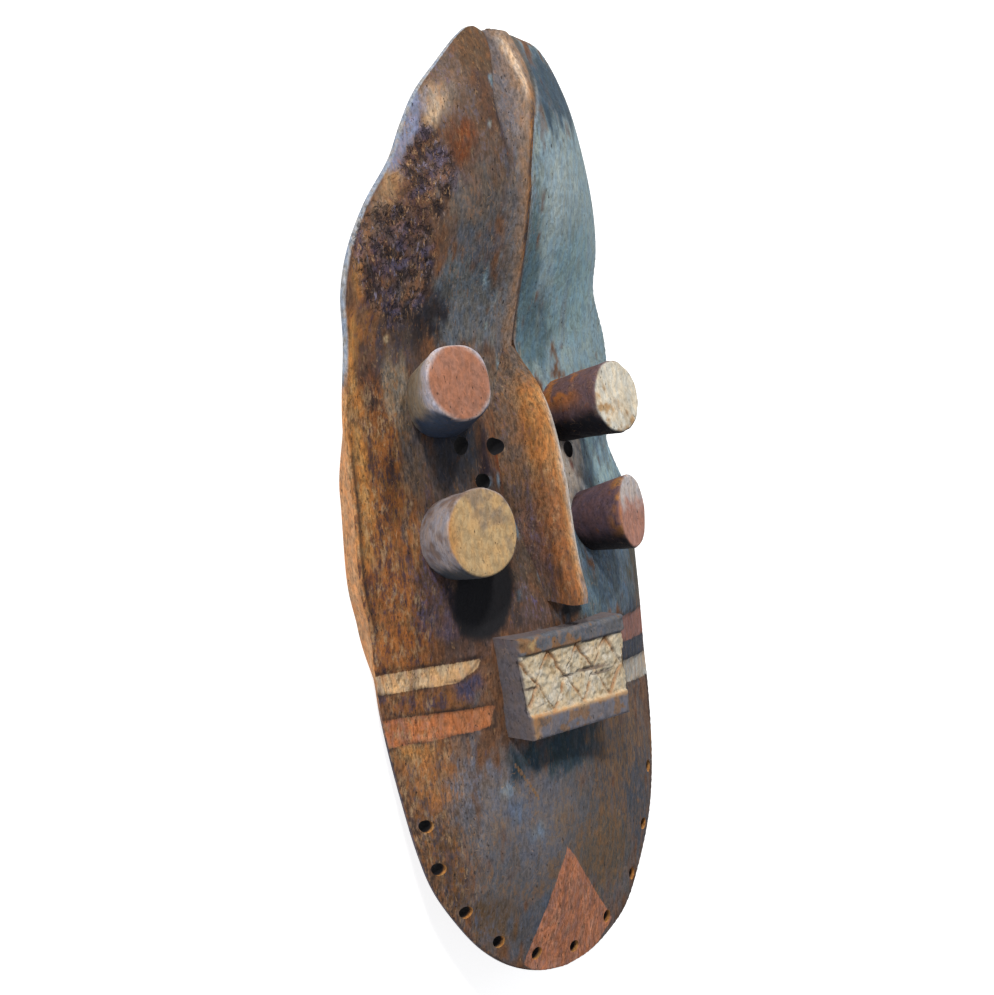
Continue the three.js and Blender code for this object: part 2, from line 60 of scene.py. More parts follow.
# Outline of the front edge, from the chin up to the crown.
CHIN_TIP = (12, -340)
CROWN_TIP = (-2, 347.5)
LEFT_EDGE = (
    (-14, -336), (-42, -325), (-67, -306), (-88, -279), (-102, -254), (-110, -226), (-116, -192),
    (-123, -145), (-129, -95), (-132, -65), (-138.5, -35), (-140, 25), (-142, 82), (-138, 135),
    (-139, 168), (-132, 198), (-116, 229), (-94, 258), (-84, 280), (-71, 303), (-51, 324),
    (-30, 344), (-19, 350),
)
RIGHT_EDGE = (
    (38, -337), (60, -330), (88, -315), (113, -287), (135, -252), (148, -215), (156, -165),
    (157, -125), (152, -60), (145, -5), (139, 14), (132, 27), (124.5, 44), (126, 60), (130, 82),
    (127, 122), (115.5, 160), (118.5, 190), (114.5, 223), (98, 272), (80, 306), (52, 337),
    (31, 344), (15, 347),
)
MIDDLE_LINE = ((-340, 12), (-325, 7), (-280, 0), (0, 0), (322, 0), (347.5, -2))

# Height of the face along its centre line, as (y, z), without the crest.
CENTRE_LINE = (
    (-341, 47), (-325, 50), (-290, 58), (-245, 66), (-200, 69), (-150, 70), (-100, 74), (-70, 72),
    (-45, 66), (-15, 57), (10, 50), (40, 46), (80, 41), (100, 37), (125, 34), (157, 40), (191, 51),
    (240, 63), (275, 65), (310, 56), (338, 44), (350, 38),
)
CREST_HEIGHT = ((110, 0), (125, 2.5), (157, 5), (191, 6.5), (240, 8), (310, 8), (343, 6), (352, 4))
CREST_MIDDLE = (
    (110, 0.5), (157, 1), (192, -1), (226, -4), (253, -5), (275, -3), (295, 1), (316, 4), (340, 4),
)
CREST_REACH = ((110, 4), (157, 5), (226, 6), (275, 6.5), (295, 10), (327, 11), (340, 9))
HOLLOW_BRINK = ((250, -18), (300, -20), (318, -14), (335, -10), (350, -9))
NOSE_TOP = (
    (-61, 94), (-55, 94), (-46, 92), (-35, 89), (-17, 85), (13, 80.5), (43, 75.5),
    (73, 68), (89, 61.5), (104, 51.5), (113, 43), (120, 37.5), (128, 33),
)
NOSE_FOOT = (
    (-61, 11), (-45, 12), (-25, 16), (-8, 20), (15, 25), (51, 27), (86, 23), (110, 12), (128, 4),
)
NOSE_EDGE = ((-61, 9), (-50, 9), (-30, 9.5), (0, 10), (60, 10), (95, 8), (128, 7))
SIGHT_HOLES = ((-57, 57), (-28, 54), (-42, 30), (53, 44), (26, 46))
CHIN_HOLES = (
    (-104, -208), (-98, -240), (-80, -275), (-54, -303), (-19, -321), (21, -327), (61, -315),
    (98, -292), (120, -258), (136, -216),
)


class Form(IntEnum):
    """What a stretch of the surface belongs to."""

    FACE = 0
    RIM = 1
    NOSE = 2
    MOUTH = 3
    HOLE = 4
    BACK = 5
    TUBE = 6


def lerp(a: Array | float, b: Array | float, t: Array | float) -> Array | float:
    """The value a share t of the way from a to b."""
    return a + (b - a) * t


def ease(start: float, end: float, x: Array | float) -> Array:
    """A smooth step: 0 before start, 1 after end, 3t^2 - 2t^3 between."""
    t = np.clip((np.asarray(x, float) - start) / (end - start), 0, 1)
    return t * t * (3 - 2 * t)


class SmoothCurve:
    """A smooth curve through (position, value) pairs, held level past its ends."""

    def __init__(self, pairs: Sequence[tuple[float, float]]) -> None:
        """Works out a slope at each pair from the two chords beside it, weighted by nearness."""
        self.x, self.y = np.array(sorted(pairs), float).T
        step = np.diff(self.x)
        chord = np.diff(self.y) / step
        inner = (chord[:-1] * step[1:] + chord[1:] * step[:-1]) / (step[:-1] + step[1:])
        self.slope = np.concatenate([chord[:1], inner, chord[-1:]])

    def __call__(self, position: Array | float) -> Array:
        """The cubic Hermite curve's value at each position.

        Args:
            position: Where to read the curve.

        Returns:
            The curve's values there.
        """
        held = np.clip(position, self.x[0], self.x[-1])
        i = np.clip(np.searchsorted(self.x, held) - 1, 0, len(self.x) - 2)
        step = self.x[i + 1] - self.x[i]
        t = (held - self.x[i]) / step
        rise = t * t * (3 - 2 * t)
        bend = t * (1 - t) * ((1 - t) * self.slope[i] - t * self.slope[i + 1])
        return (1 - rise) * self.y[i] + rise * self.y[i + 1] + step * bend


def catmull_rom(points: Sequence[tuple[float, float]], per_span: int) -> Array:
    """A centripetal Catmull-Rom curve through the points.

    Each span blends its four neighbours, with knots spaced by the square root of their distance.

    Args:
        points: The points, each as (x, y).
        per_span: How many steps each span is cut into.

    Returns:
        The curve's points, one row each.
    """
    p = np.array(points, float)
    p = np.vstack([2 * p[0] - p[1], p, 2 * p[-1] - p[-2]])
    knot = np.sqrt(np.linalg.norm(np.diff(p, axis=0), axis=1))[:, None]
    before, here, after = knot[:-2], knot[1:-1], knot[2:]
    a, b, c, d = p[:-3], p[1:-2], p[2:-1], p[3:]
    leave = ((b - a) / before - (c - a) / (before + here) + (c - b) / here) * here
    arrive = ((c - b) / here - (d - b) / (here + after) + (d - c) / after) * here
    t = (np.arange(per_span) / per_span)[None, :, None]
    b, c, leave, arrive = (v[:, None] for v in (b, c, leave, arrive))
    curve = (
        b + leave * t + (3 * (c - b) - 2 * leave - arrive) * t**2
        + (2 * (b - c) + leave + arrive) * t**3
    )
    return np.vstack([curve.reshape(-1, 2), p[-2]])


def spaced(curve: Array, count: int) -> Array:
    """The curve cut into count equal steps, as count + 1 points."""
    length = np.concatenate([[0], np.cumsum(np.linalg.norm(np.diff(curve, axis=0), axis=1))])
    wanted = np.linspace(0, length[-1], count + 1)
    return np.stack([np.interp(wanted, length, curve[:, k]) for k in range(2)], -1)


def hashed(cell: Array, seed: int) -> Array:
    """A repeatable random number from 0 to 1 for each whole-numbered cell."""
    mixed = np.full(cell.shape[:-1], seed * 374761393 + 668265263, np.uint64)
    for k, prime in enumerate((73856093, 19349663, 83492791)[: cell.shape[-1]]):
        mixed = (mixed ^ (cell[..., k].astype(np.int64).astype(np.uint64) * np.uint64(prime)))
        mixed = (mixed ^ (mixed >> np.uint64(13))) * np.uint64(1274126177 + 2 * k)
    return ((mixed >> np.uint64(9)) & np.uint64(0xFFFFFF)).astype(float) / 0xFFFFFF


def noise(places: Array, size: Sequence[float], seed: int, octaves: int = 3) -> Array:
    """Smooth random values around 0, mostly within -1 to 1.

    Values hashed at the corners of a lattice are eased into each other, and each further octave
    halves both the lattice and its share.

    Args:
        places: The points in millimetres, one row each.
        size: The lattice's spacing along each axis, in millimetres.
        seed: Picks one of many patterns.
        octaves: How many lattices are summed.

    Returns:
        One value for each point.
    """
    total = np.zeros(len(places))
    share, whole = 1.0, 0.0
    corners = np.array(np.meshgrid(*[[0, 1]] * 3, indexing="ij")).reshape(3, -1).T
    for octave in range(octaves):
        scaled = places / np.asarray(size, float) * 2**octave
        cell = np.floor(scaled)
        t = scaled - cell
        t = t * t * (3 - 2 * t)
        value = np.zeros(len(places))
        for corner in corners:
            weight = np.prod(np.where(corner, t, 1 - t), axis=1)
            value += weight * hashed(cell + corner, seed + 17 * octave)
        total += share * (2 * value - 1)
        whole += share
        share *= 0.5
    return total / whole * 1.6


def linear(code: str) -> Array:
    """The linear red, green and blue of a colour given as six hexadecimal digits."""
    value = np.array([int(code[i:i + 2], 16) for i in (0, 2, 4)]) / 255
    return np.where(value <= 0.04045, value / 12.92, ((value + 0.055) / 1.055) ** 2.4)


def pigment(code: str) -> Array:
    """A paint's linear colour, from its code as the lit surface should look."""
    return linear(code) * PAINT_VALUE


@dataclass(frozen=True)
class Rim:
    """The rim's section and how its underside lifts towards both ends."""

    height: float = 15
    swell: float = 2
    swell_middle: float = -10
    swell_spread: float = 90
    land: float = 2
    undercut: float = 12
    crown_lift: tuple[float, float, float, float] = (75, 275, 20, 1.5)
    chin_lift: tuple[float, float, float, float] = (-120, 220, 33, 1.3)
    flange: tuple[float, float, float, float] = (-92, 58, 56, 2.5)
    rounding: float = 1.6

    def under(self, y: Array) -> Array:
        """The underside: flat in the middle, rising as a power of the distance past each start."""
        start, length, height, power = self.crown_lift
        crown = height * np.clip((y - start) / length, 0, 1) ** power
        start, length, height, power = self.chin_lift
        return crown + height * np.clip((start - y) / length, 0, 1) ** power

    def edge(self, y: Array) -> Array:
        """The front edge: a constant height over the underside, with a bell-shaped swell."""
        bell = np.exp(-(((y - self.swell_middle) / self.swell_spread) ** 2))
        return self.under(y) + self.height + self.swell * bell

    def inset(self, y: Array) -> Array:
        """How far the underside is cut back: the undercut, and less along the flange."""
        low, high, blend, least = self.flange
        half = blend / 2
        beside = ease(low - half, low + half, y) * (1 - ease(high - half, high + half, y))
        return lerp(self.undercut, least, beside)


class Outline:
    """The mask's edge as it is seen from the front."""

    def __init__(self, fine: int = 40) -> None:
        """Cuts both sides finely and finds the middle of the box that they fill."""
        self.left = catmull_rom((CHIN_TIP, *LEFT_EDGE, CROWN_TIP), fine)
        self.right = catmull_rom((CHIN_TIP, *RIGHT_EDGE, CROWN_TIP), fine)
        self.middle = SmoothCurve(MIDDLE_LINE)
        both = np.vstack([self.left, self.right])
        self.centre = (both.min(0) + both.max(0)) / 2
        self.readers = [self._reader(side) for side in (self.left, self.right)]

    @staticmethod
    def _reader(side: Array) -> tuple[Array, Array]:
        """The side up to its highest point, as rising y with their x."""
        upto = side[: side[:, 1].argmax() + 1]
        order = np.argsort(upto[:, 1])
        return upto[order, 1], upto[order, 0]

    def share(self, x: Array, y: Array) -> Array:
        """Share of the way from the middle of the face, 0, to its edge, 1."""
        middle = self.middle(y)
        left, right = (np.interp(y, *reader) for reader in self.readers)
        reach = np.where(x < middle, left, right) - middle
        flat = np.abs(reach) < TINY
        return np.where(flat, 1, np.clip((x - middle) / np.where(flat, 1, reach), 0, 1))

    def distance(self, x: Array, y: Array) -> Array:
        """How far each point of a grid is from the nearest point of the outline."""
        edge = np.vstack([spaced(self.left, 450), spaced(self.right, 450)])
        return np.array([
            np.hypot(row_x[:, None] - edge[:, 0], row_y[:, None] - edge[:, 1]).min(1)
            for row_x, row_y in zip(x, y)
        ])

    def pair(self, count: int, inset: Callable[[Array], Array]) -> tuple[Array, Array]:
        """Both sides in equal steps, moved inwards by a distance that changes with y.

        Args:
            count: How many steps to take.
            inset: How far in from the outline, at each y.

        Returns:
            The left and the right edge.
        """
        sides = []
        for curve, sign in ((self.left, 1), (self.right, -1)):
            side = spaced(curve, count)
            along = np.empty_like(side)
            along[1:-1] = side[2:] - side[:-2]
            along[0], along[-1] = side[1] - side[0], side[-1] - side[-2]
            along /= np.linalg.norm(along, axis=1)[:, None]
            inwards = np.stack([along[:, 1], -along[:, 0]], -1) * sign
            moved = side + inwards * inset(side[:, 1])[:, None]
            moved[0] = side[0] + (0, inset(side[:1, 1])[0])
            moved[-1] = side[-1] - (0, inset(side[-1:, 1])[0])
            sides.append(moved)
        return sides[0], sides[1]


def inside_polygon(corners: Sequence[Sequence[float]], x: Array, y: Array) -> Array:
    """How far inside a convex polygon a point is: the least of its distances to the sides.

    Args:
        corners: The corners in the plane of the face, anticlockwise, in millimetres.
        x: The points across the face, in millimetres.
        y: The points up the face, in millimetres.

    Returns:
        The distances in millimetres, negative outside.
    """
    points = np.array(corners, float)
    inside = np.full(np.shape(x), np.inf)
    for start, end in zip(points, np.roll(points, -1, axis=0)):
        along = (end - start) / np.linalg.norm(end - start)
        inside = np.minimum(inside, along[0] * (y - start[1]) - along[1] * (x - start[0]))
    return inside


@dataclass(frozen=True)
class Band:
    """A shallow painted band in a cheek, between two long edges that both run from -X to +X."""

    top: tuple[tuple[float, float], tuple[float, float]]
    bottom: tuple[tuple[float, float], tuple[float, float]]
    depth: float = 1.4

    def distance(self, x: Array, y: Array) -> Array:
        """How far inside the band a point is, in millimetres, negative outside."""
        return inside_polygon([*self.bottom, self.top[1], self.top[0]], x, y)


BANDS = (
    Band(((-146, -97), (-66, -90)), ((-146, -114), (-78, -106))),
    Band(((-146, -130), (-57, -126)), ((-146, -152), (-55, -143))),
    Band(((50, -84), (175, -93)), ((50, -103), (175, -116))),
    Band(((50, -119), (175, -130)), ((50, -138), (175, -149))),
)


class Surface:
    """The carved front of the face, and the ceiling of the hollow behind it."""

    forehead_roundness = 2.1
    chin_roundness = 1.6
    wall = 14.0
    steepest = 1.35

    def __init__(self, outline: Outline, rim: Rim) -> None:
        """Takes the outline and rim that the surface hangs from."""
        self.outline, self.rim = outline, rim
        self.centre, self.crest_height = SmoothCurve(CENTRE_LINE), SmoothCurve(CREST_HEIGHT)
        self.crest_middle, self.crest_reach = SmoothCurve(CREST_MIDDLE), SmoothCurve(CREST_REACH)
        self.brink = SmoothCurve(HOLLOW_BRINK)

    def crest(self, x: Array, y: Array) -> Array:
        """The crest: it falls as exp(-t^2) to the left and exp(-t^4) to the right."""
        aside = x - self.crest_middle(y)
        fall = np.where(aside > 0, (aside / self.crest_reach(y)) ** 4, (aside / 10) ** 2)
        return np.where(y > CREST_HEIGHT[0][0], self.crest_height(y) * np.exp(-fall), 0)

    def hollow(self, x: Array, y: Array) -> Array:
        """The strip let in between the left half of the crown and the crest."""
        brink, foot = self.brink(y), self.crest_middle(y) - 6
        between = ease(-2, 2, x - brink) * (1 - ease(-4, 4, x - foot))
        return 6 * ease(250, 325, y) * between

    def face(self, x: Array, y: Array) -> Array:
        """An arch from rim to rim, 1 - share^roundness, with crest and hollow."""
        roundness = lerp(self.forehead_roundness, self.chin_roundness, ease(60, 150, -y))
        arch = 1 - self.outline.share(x, y) ** roundness
        return lerp(self.rim.edge(y), self.centre(y), arch) + self.crest(x, y) - self.hollow(x, y)

    def ceiling(self, x: Array, y: Array) -> Array:
        """The hollow's ceiling: a smooth arch, one wall behind the face.

        Args:
            x: The points across the face, in millimetres.
            y: The points up the face, in millimetres.

        Returns:
            The heights in millimetres.
        """
        step = 2.0
        slope_x = (self.face(x + step, y) - self.face(x - step, y)) / (2 * step)
        slope_y = (self.face(x, y + step) - self.face(x, y - step)) / (2 * step)
        wall = self.wall * np.minimum(self.steepest, np.sqrt(1 + slope_x**2 + slope_y**2))
        arch = 1 - self.outline.share(x, y) ** 2
        return np.maximum(lerp(self.rim.edge(y), self.centre(y), arch) - wall,
                          self.rim.under(y) + 1.5)

    def relief(self, x: Array, y: Array) -> Array:
        """What the knife left: facets, grain, chips and the bands.

        Long shallow undulations and fibre ridges are summed over the whole face. Deeper chips gather in the
        rough left side of the forehead. The bands are let in.
        """
        places = np.stack([x, y, np.zeros_like(x)], -1)
        facets = 0.5 * noise(places, (26, 60, 30), 1, 2)
        fibres = 0.32 * noise(places, (3.6, 30, 9), 2, 3)
        chips = -2.0 * chipped(x, y)
        bands = sum(-band.depth * ease(-0.7, 0.9, band.distance(x, y)) for band in BANDS)
        return facets + fibres + chips + bands


def rough_share(x: Array, y: Array) -> Array:
    """How rough the forehead's left side is, from 0 to 1, as two soft ellipses."""
    upper = 1 - np.hypot((x + 78) / 24, (y - 250) / 42)
    lower = 1 - np.hypot((x + 102) / 34, (y - 188) / 54)
    return np.clip(np.maximum(upper, lower) * 2.4, 0, 1)


def chipped(x: Array, y: Array) -> Array:
    """Where chips are broken out of the rough part: noise above a threshold, from 0 to 1."""
    places = np.stack([x, y + 0.35 * x, np.zeros_like(x)], -1)
    broken = ease(0.0, 0.5, noise(places, (6.5, 9, 9), 3, 3))
    smooth = LAVENDER.weight(np.stack([x, y, 0 * x], -1), np.zeros_like(x))
    return ease(0.05, 0.6, rough_share(x, y)) * broken * (1 - smooth)


@dataclass(frozen=True)
class Sheet:
    """A mesh's corners and triangles, and the form that each triangle belongs to."""

    points: Array
    faces: Array
    form: Array

    @staticmethod
    def joined(sheets: Sequence["Sheet"]) -> "Sheet":
        """All the sheets in one, with corners that coincide merged and flat triangles dropped.

        Args:
            sheets: The sheets to join.

        Returns:
            One sheet.
        """
        starts = np.cumsum([0] + [len(s.points) for s in sheets[:-1]])
        points = np.vstack([s.points for s in sheets])
        faces = np.vstack([s.faces + start for s, start in zip(sheets, starts)])
        form = np.concatenate([s.form for s in sheets])
        _, first, where = np.unique(
            np.round(points * 1000).astype(np.int64), axis=0, return_index=True, return_inverse=True
        )
        faces = where.reshape(-1)[faces]
        a, b, c = faces.T
        keep = (a != b) & (b != c) & (c != a)
        return Sheet(points[first], faces[keep], form[keep])


def grid_sheet(grid: Array, form: Form, wrap: bool = False, flip: bool = False) -> Sheet:
    """Triangles over a grid of points.

    Args:
        grid: The points, as rows by columns by three.
        form: What the surface belongs to.
        wrap: Whether the last column joins the first.
        flip: Whether the faces are turned over.

    Returns:
        The sheet, whose faces look along the cross product of columns and rows.
    """
    rows, columns = grid.shape[:2]
    index = np.arange(rows * columns).reshape(rows, columns)
    if wrap:
        index = np.hstack([index, index[:, :1]])
    a, b, c, d = (part.ravel() for part in (index[:-1, :-1], index[:-1, 1:], index[1:, 1:],
                                           index[1:, :-1]))
    faces = np.vstack([np.stack([a, b, c], -1), np.stack([a, c, d], -1)])
    faces = faces[:, ::-1] if flip else faces
    return Sheet(grid.reshape(-1, 3), faces, np.full(len(faces), int(form)))


def border(grid: Array) -> Array:
    """The points round a grid's edge, anticlockwise from its first row's start."""
    return np.vstack([grid[0], grid[1:, -1], grid[-1, -2::-1], grid[-2:0:-1, 0]])


def slab(top: Array, levels: Sequence[Array], bottom: Array, form: Form, side: Form) -> Sheet:
    """A closed block between two grids of like size, with its walls through the given grids."""
    rings = np.stack([border(level) for level in (bottom, *levels, top)])
    return Sheet.joined([
        grid_sheet(top, form), grid_sheet(bottom, side, flip=True),
        grid_sheet(rings, side, wrap=True),
    ])


def symmetric_shares(count: int, crowd: float) -> Array:
    """Shares from -1 to 1 in even steps that crowd towards both ends."""
    even = np.linspace(-1, 1, count)
    return even * (1 - crowd) + crowd * np.sin(even * math.pi / 2)


def spread(left: Array, right: Array, middle: SmoothCurve, shares: Array) -> tuple[Array, Array]:
    """The x and y of a grid of rows from left to right through the middle line."""
    y = (left[:, 1] + right[:, 1]) / 2
    centre = np.stack([middle(y), y], -1)[:, None]
    ends = np.where((shares < 0)[None, :, None], left[:, None], right[:, None])
    grid = centre + (ends - centre) * np.abs(shares)[None, :, None]
    return grid[..., 0], grid[..., 1]


@dataclass
class Shell:
    """The curved plank: its front, rim and underside."""

    surface: Surface
    rows: int = 312
    columns: int = 133

    def body(self) -> Sheet:
        """The solid plank. Its top is the face plus relief, rounded over at the edge.

        Returns:
            A closed sheet whose wall drops over a land and in under an undercut.
        """
        outline, rim = self.surface.outline, self.surface.rim
        shares = symmetric_shares(self.columns, 0.35)
        shares = np.sort(np.concatenate([shares, (-0.9965, -0.987, 0.987, 0.9965)]))

        def level(inset: Callable[[Array], Array], height: Callable[[Array], Array]) -> Array:
            x, y = spread(*outline.pair(self.rows, inset), outline.middle, shares)
            return np.stack([x, y, height(y)], -1)

        x, y = spread(*outline.pair(self.rows, np.zeros_like), outline.middle, shares)
        z = self.surface.face(x, y)
        flat = self.surface.relief(x.ravel(), y.ravel()).reshape(x.shape)
        near = outline.distance(x, y)
        z = z + flat * ease(0, 6, near)
        r = rim.rounding
        z = z - (r - np.sqrt(np.maximum(r**2 - np.clip(r - near, 0, r) ** 2, 0)))
        top = np.stack([x, y, z], -1)
        drop = [(0, rim.land + r * 0.4), (0.3, rim.land + 4.5), (0.7, rim.land + 9)]
        walls = [
            level(lambda y, s=s: rim.inset(y) * s, lambda y, d=d: rim.edge(y) - d)
            for s, d in drop
        ]
        walls.append(level(lambda y: rim.inset(y) - 0.2, lambda y: rim.under(y) + 0.8))
        bottom = level(lambda y: rim.inset(y) + 0.8, rim.under)
        return slab(top, walls[::-1], bottom, Form.FACE, Form.RIM)

    def cavity(self, rows: int = 150, columns: int = 57, brim: float = 16) -> Sheet:
        """What is cut away for the hollow: its ceiling, with gouge marks, and straight walls.

        Its two pointed ends are cut off by a row, so that each ends in a short flat wall.

        Args:
            rows: How many rows the grid has.
            columns: How many columns the grid has.
            brim: The width of the solid rim, in millimetres.

        Returns:
            The closed sheet.
        """
        outline, rim = self.surface.outline, self.surface.rim
        shares = symmetric_shares(columns, 0.3)
        pair = outline.pair(rows, lambda y: np.full(np.shape(y), brim))
        x, y = (part[1:-1] for part in spread(*pair, outline.middle, shares))
        places = np.stack([x, y, np.zeros_like(x)], -1).reshape(-1, 3)
        gouges = 0.5 * noise(places, (13, 30, 20), 21, 2).reshape(x.shape)
        z = self.surface.ceiling(x, y) - np.abs(gouges)
        z = np.maximum(z, rim.under(y) + 1.2)
        bottom = np.stack([x, y, rim.under(y) - 12], -1)
        return slab(np.stack([x, y, z], -1), [], bottom, Form.BACK, Form.BACK)


class EndPaint(Enum):
    """What the flat end of a tube is painted with."""

    SALMON = "salmon"
    CREAM = "cream"
    WHITE = "white"
    PINK = "pink"


class SidePaint(Enum):
    """What the side of a tube is painted with."""

    PALE = "pale"
    LAVENDER = "lavender"
    UMBER = "umber"
    PLUM = "plum"


@dataclass(frozen=True)
class Tube:
    """An eye tube: a round pillar that turns from its axis to the way its end looks."""

    name: str
    foot: tuple[float, float, float]
    end: tuple[float, float, float]
    radii: tuple[float, float]
    facing: tuple[float, float, float]
    end_paint: EndPaint
    side_paint: SidePaint
    squareness: float = 2.0
    lumps: float = 0.35
    sunk: float = 24
    rounding: float = 2.2

    def sheet(self, around: int = 84) -> Sheet:
        """The pillar as rings round its axis, from its sunk root over the rounded rim of its end.

        The radius grows along the axis and is bent to a superellipse by the squareness, and
        noise makes the side and the end a little uneven.

        Args:
            around: How many points each ring has.

        Returns:
            The closed sheet.
        """
        start, end = np.array(self.foot), np.array(self.end)
        axis = (end - start) / np.linalg.norm(end - start)
        look = np.array(self.facing) / np.linalg.norm(self.facing)
        foot_radius, end_radius = self.radii
        r = self.rounding
        rings: list[tuple[Array, Array, float]] = [(start - axis * self.sunk, axis, TINY)]
        rings.append((start - axis * self.sunk, axis, foot_radius))
        for t in np.linspace(0, 0.93, 16):
            normal = lerp(axis, look, ease(0.1, 1, t))
            rings.append((lerp(start, end, t) - look * r * t, normal, lerp(foot_radius, end_radius, t)))
        for angle in np.linspace(0, math.pi / 2, 5):
            lift, reach = r * (math.sin(angle) - 1), r * (math.cos(angle) - 1)
            rings.append((end + look * lift, look, end_radius + reach))
        rings += [(end, look, (end_radius - r) * s) for s in (0.9, 0.78, 0.64, 0.48, 0.32, 0.16)]
        rings.append((end, look, TINY))
        angle = np.linspace(0, 2 * math.pi, around, endpoint=False)
        square = (np.abs(np.cos(angle)) ** self.squareness
                  + np.abs(np.sin(angle)) ** self.squareness) ** (-1 / self.squareness)
        square /= lerp(1, square.max(), 0.5)
        grid = np.array([self._ring(*ring, angle, square) for ring in rings])
        flat = grid.reshape(-1, 3)
        seed = 40 + int(abs(start[0]) + abs(start[1]))
        bumps = self.lumps * noise(flat, (9, 14, 9), seed, 3)
        centre = flat.mean(0)
        away = flat - centre
        away /= np.maximum(np.linalg.norm(away, axis=1), TINY)[:, None]
        grid = (flat + away * bumps[:, None]).reshape(grid.shape)
        for pole in (0, -1):
            grid[pole] = grid[pole].mean(0)
        return Sheet.joined([grid_sheet(grid, Form.TUBE, wrap=True)])

    def reach(self, places: Array) -> Array:
        """How far each place is from the tube's axis, as a share of its radius there."""
        start, end = np.array(self.foot), np.array(self.end)
        axis = end - start
        t = np.clip((places - start) @ axis / (axis @ axis), 0, 1)
        away = np.linalg.norm(places - start - t[:, None] * axis, axis=1)
        return away / lerp(self.radii[0], self.radii[1], t)

    def paint(self, coat: "Coat", places: Array, chosen: Array) -> None:
        """Paints the chosen places: the end within its rim, and the side elsewhere.

        Args:
            coat: The coat to paint on.
            places: The points to work on, in millimetres.
            chosen: Which of the places to paint.
        """
        here = places[chosen]
        look = np.array(self.facing) / np.linalg.norm(self.facing)
        offset = here - self.end
        depth = -(offset @ look)
        spoke = offset - (offset @ look)[:, None] * look
        out = np.linalg.norm(spoke, axis=1) / self.radii[1]
        on_end = (1 - ease(2.0, 3.4, depth)) * (1 - ease(0.94, 1.0, out))
        up = spoke[:, 1] / self.radii[1]
        right = spoke[:, 0] / self.radii[1]
        ragged = noise(here, (7, 7, 7), 71, 3)
        side_a, side_b = SIDE_PAINT[self.side_paint](up, right, depth, ragged)
        end_a, end_b = END_PAINT[self.end_paint](up, right, out, ragged)
        coat.a[chosen] = lerp(side_a, end_a, on_end[:, None])
        coat.b[chosen] = lerp(side_b, end_b, on_end[:, None])
        coat.share_b[chosen] = lerp(0.44, 0.34, on_end)
        coat.wear[chosen] = lerp(0.25, 0.05, on_end)
        coat.fibre[chosen] = lerp(0.3, 0.1, on_end)

    @staticmethod
    def _ring(centre: Array, normal: Array, radius: float, angle: Array, square: Array) -> Array:
        """A ring of points round a centre, square to the normal."""
        normal = normal / np.linalg.norm(normal)
        u = np.cross((0, 1, 0), normal)
        u /= np.linalg.norm(u)
        v = np.cross(normal, u)
        spoke = (radius * square)[:, None]
        return centre + spoke * (np.cos(angle)[:, None] * u + np.sin(angle)[:, None] * v)


def blend(start: str | Array, end: str, share: Array) -> Array:
    """A colour that passes from start to end by the share at each point."""
    start = pigment(start) if isinstance(start, str) else start
    return lerp(start, pigment(end), share[:, None])


def salmon_end(up: Array, right: Array, out: Array, ragged: Array) -> tuple[Array, Array]:
    """Salmon with a thin pale rim and browner streaks."""
    a = blend("AC7860", "BDB0AE", ease(0.9, 0.96, out) * 0.8)
    return a, blend("94644E", "A87A5C", ease(0, 0.6, ragged))


def cream_end(up: Array, right: Array, out: Array, ragged: Array) -> tuple[Array, Array]:
    """Yellow cream with grey-brown blotches at the upper right and an orange left rim."""
    blotch = ease(0.1, 0.9, ragged + 0.5 * (up + right) - 0.1) * 0.8
    a = blend(blend("C6A87A", "8A7A6A", blotch), "BC8444", ease(0.6, 0.95, -right) * 0.8)
    return a, blend("B39A70", "7E7060", blotch)


def white_end(up: Array, right: Array, out: Array, ragged: Array) -> tuple[Array, Array]:
    """Chalky cream white with orange spots at the lower left."""
    spot = ease(0.2, 0.5, ragged - 0.35 * (up + right) - 0.2)
    a = blend("E2DCCA", "B78842", spot * 0.75)
    return a, blend("D2CAB2", "A08050", spot)


def pink_end(up: Array, right: Array, out: Array, ragged: Array) -> tuple[Array, Array]:
    """Lavender white above, pink below, with an orange worn left rim."""
    a = blend("BE8A78", "C8C0BE", ease(0.0, 0.6, up + 0.3 * ragged))
    a = blend(a, "B9753A", ease(0.72, 0.95, -right) * 0.8)
    return a, blend("A5705F", "A79CA4", ease(0.0, 0.6, up))


def pale_side(up: Array, right: Array, depth: Array, ragged: Array) -> tuple[Array, Array]:
    """Olive grey, whitish lavender near the end, and a painted shade of slate blue underneath."""
    a = blend("968874", "C2BCC4", 1 - ease(4, 24, depth + 6 * ragged))
    # Painted shade on the tube's underside.
    under = ease(0.45, 0.8, -up + 0.15 * ragged)
    return blend(a, "33435A", under), blend(blend("6B5E50", "8E8678", ease(0, 0.5, ragged)),
                                           "2B3646", under)


def lavender_side(up: Array, right: Array, depth: Array, ragged: Array) -> tuple[Array, Array]:
    """Lavender grey with brown, and a painted shade of dark slate underneath."""
    a = blend("A49C9E", "84726A", ease(0.0, 0.5, ragged))
    # Painted shade on the tube's underside.
    under = ease(0.5, 0.85, -up + 0.1 * ragged)
    return blend(a, "3A4048", under), blend(blend("6F6870", "8A7460", ease(0, 0.6, -ragged)),
                                           "2C3138", under)


def umber_side(up: Array, right: Array, depth: Array, ragged: Array) -> tuple[Array, Array]:
    """Purple brown, orange near the foot's top, and a painted shade of blue black underneath."""
    a = blend("70585A", "A86C38", ease(8, 30, depth) * ease(-0.3, 0.3, up) * ease(-0.1, 0.3, ragged))
    # Painted shade on the tube's underside.
    under = ease(0.1, 0.6, -up + 0.15 * ragged)
    return blend(a, "171821", under), blend(blend("43323A", "6E4630", ease(0, 0.5, ragged)),
                                           "12131A", under)


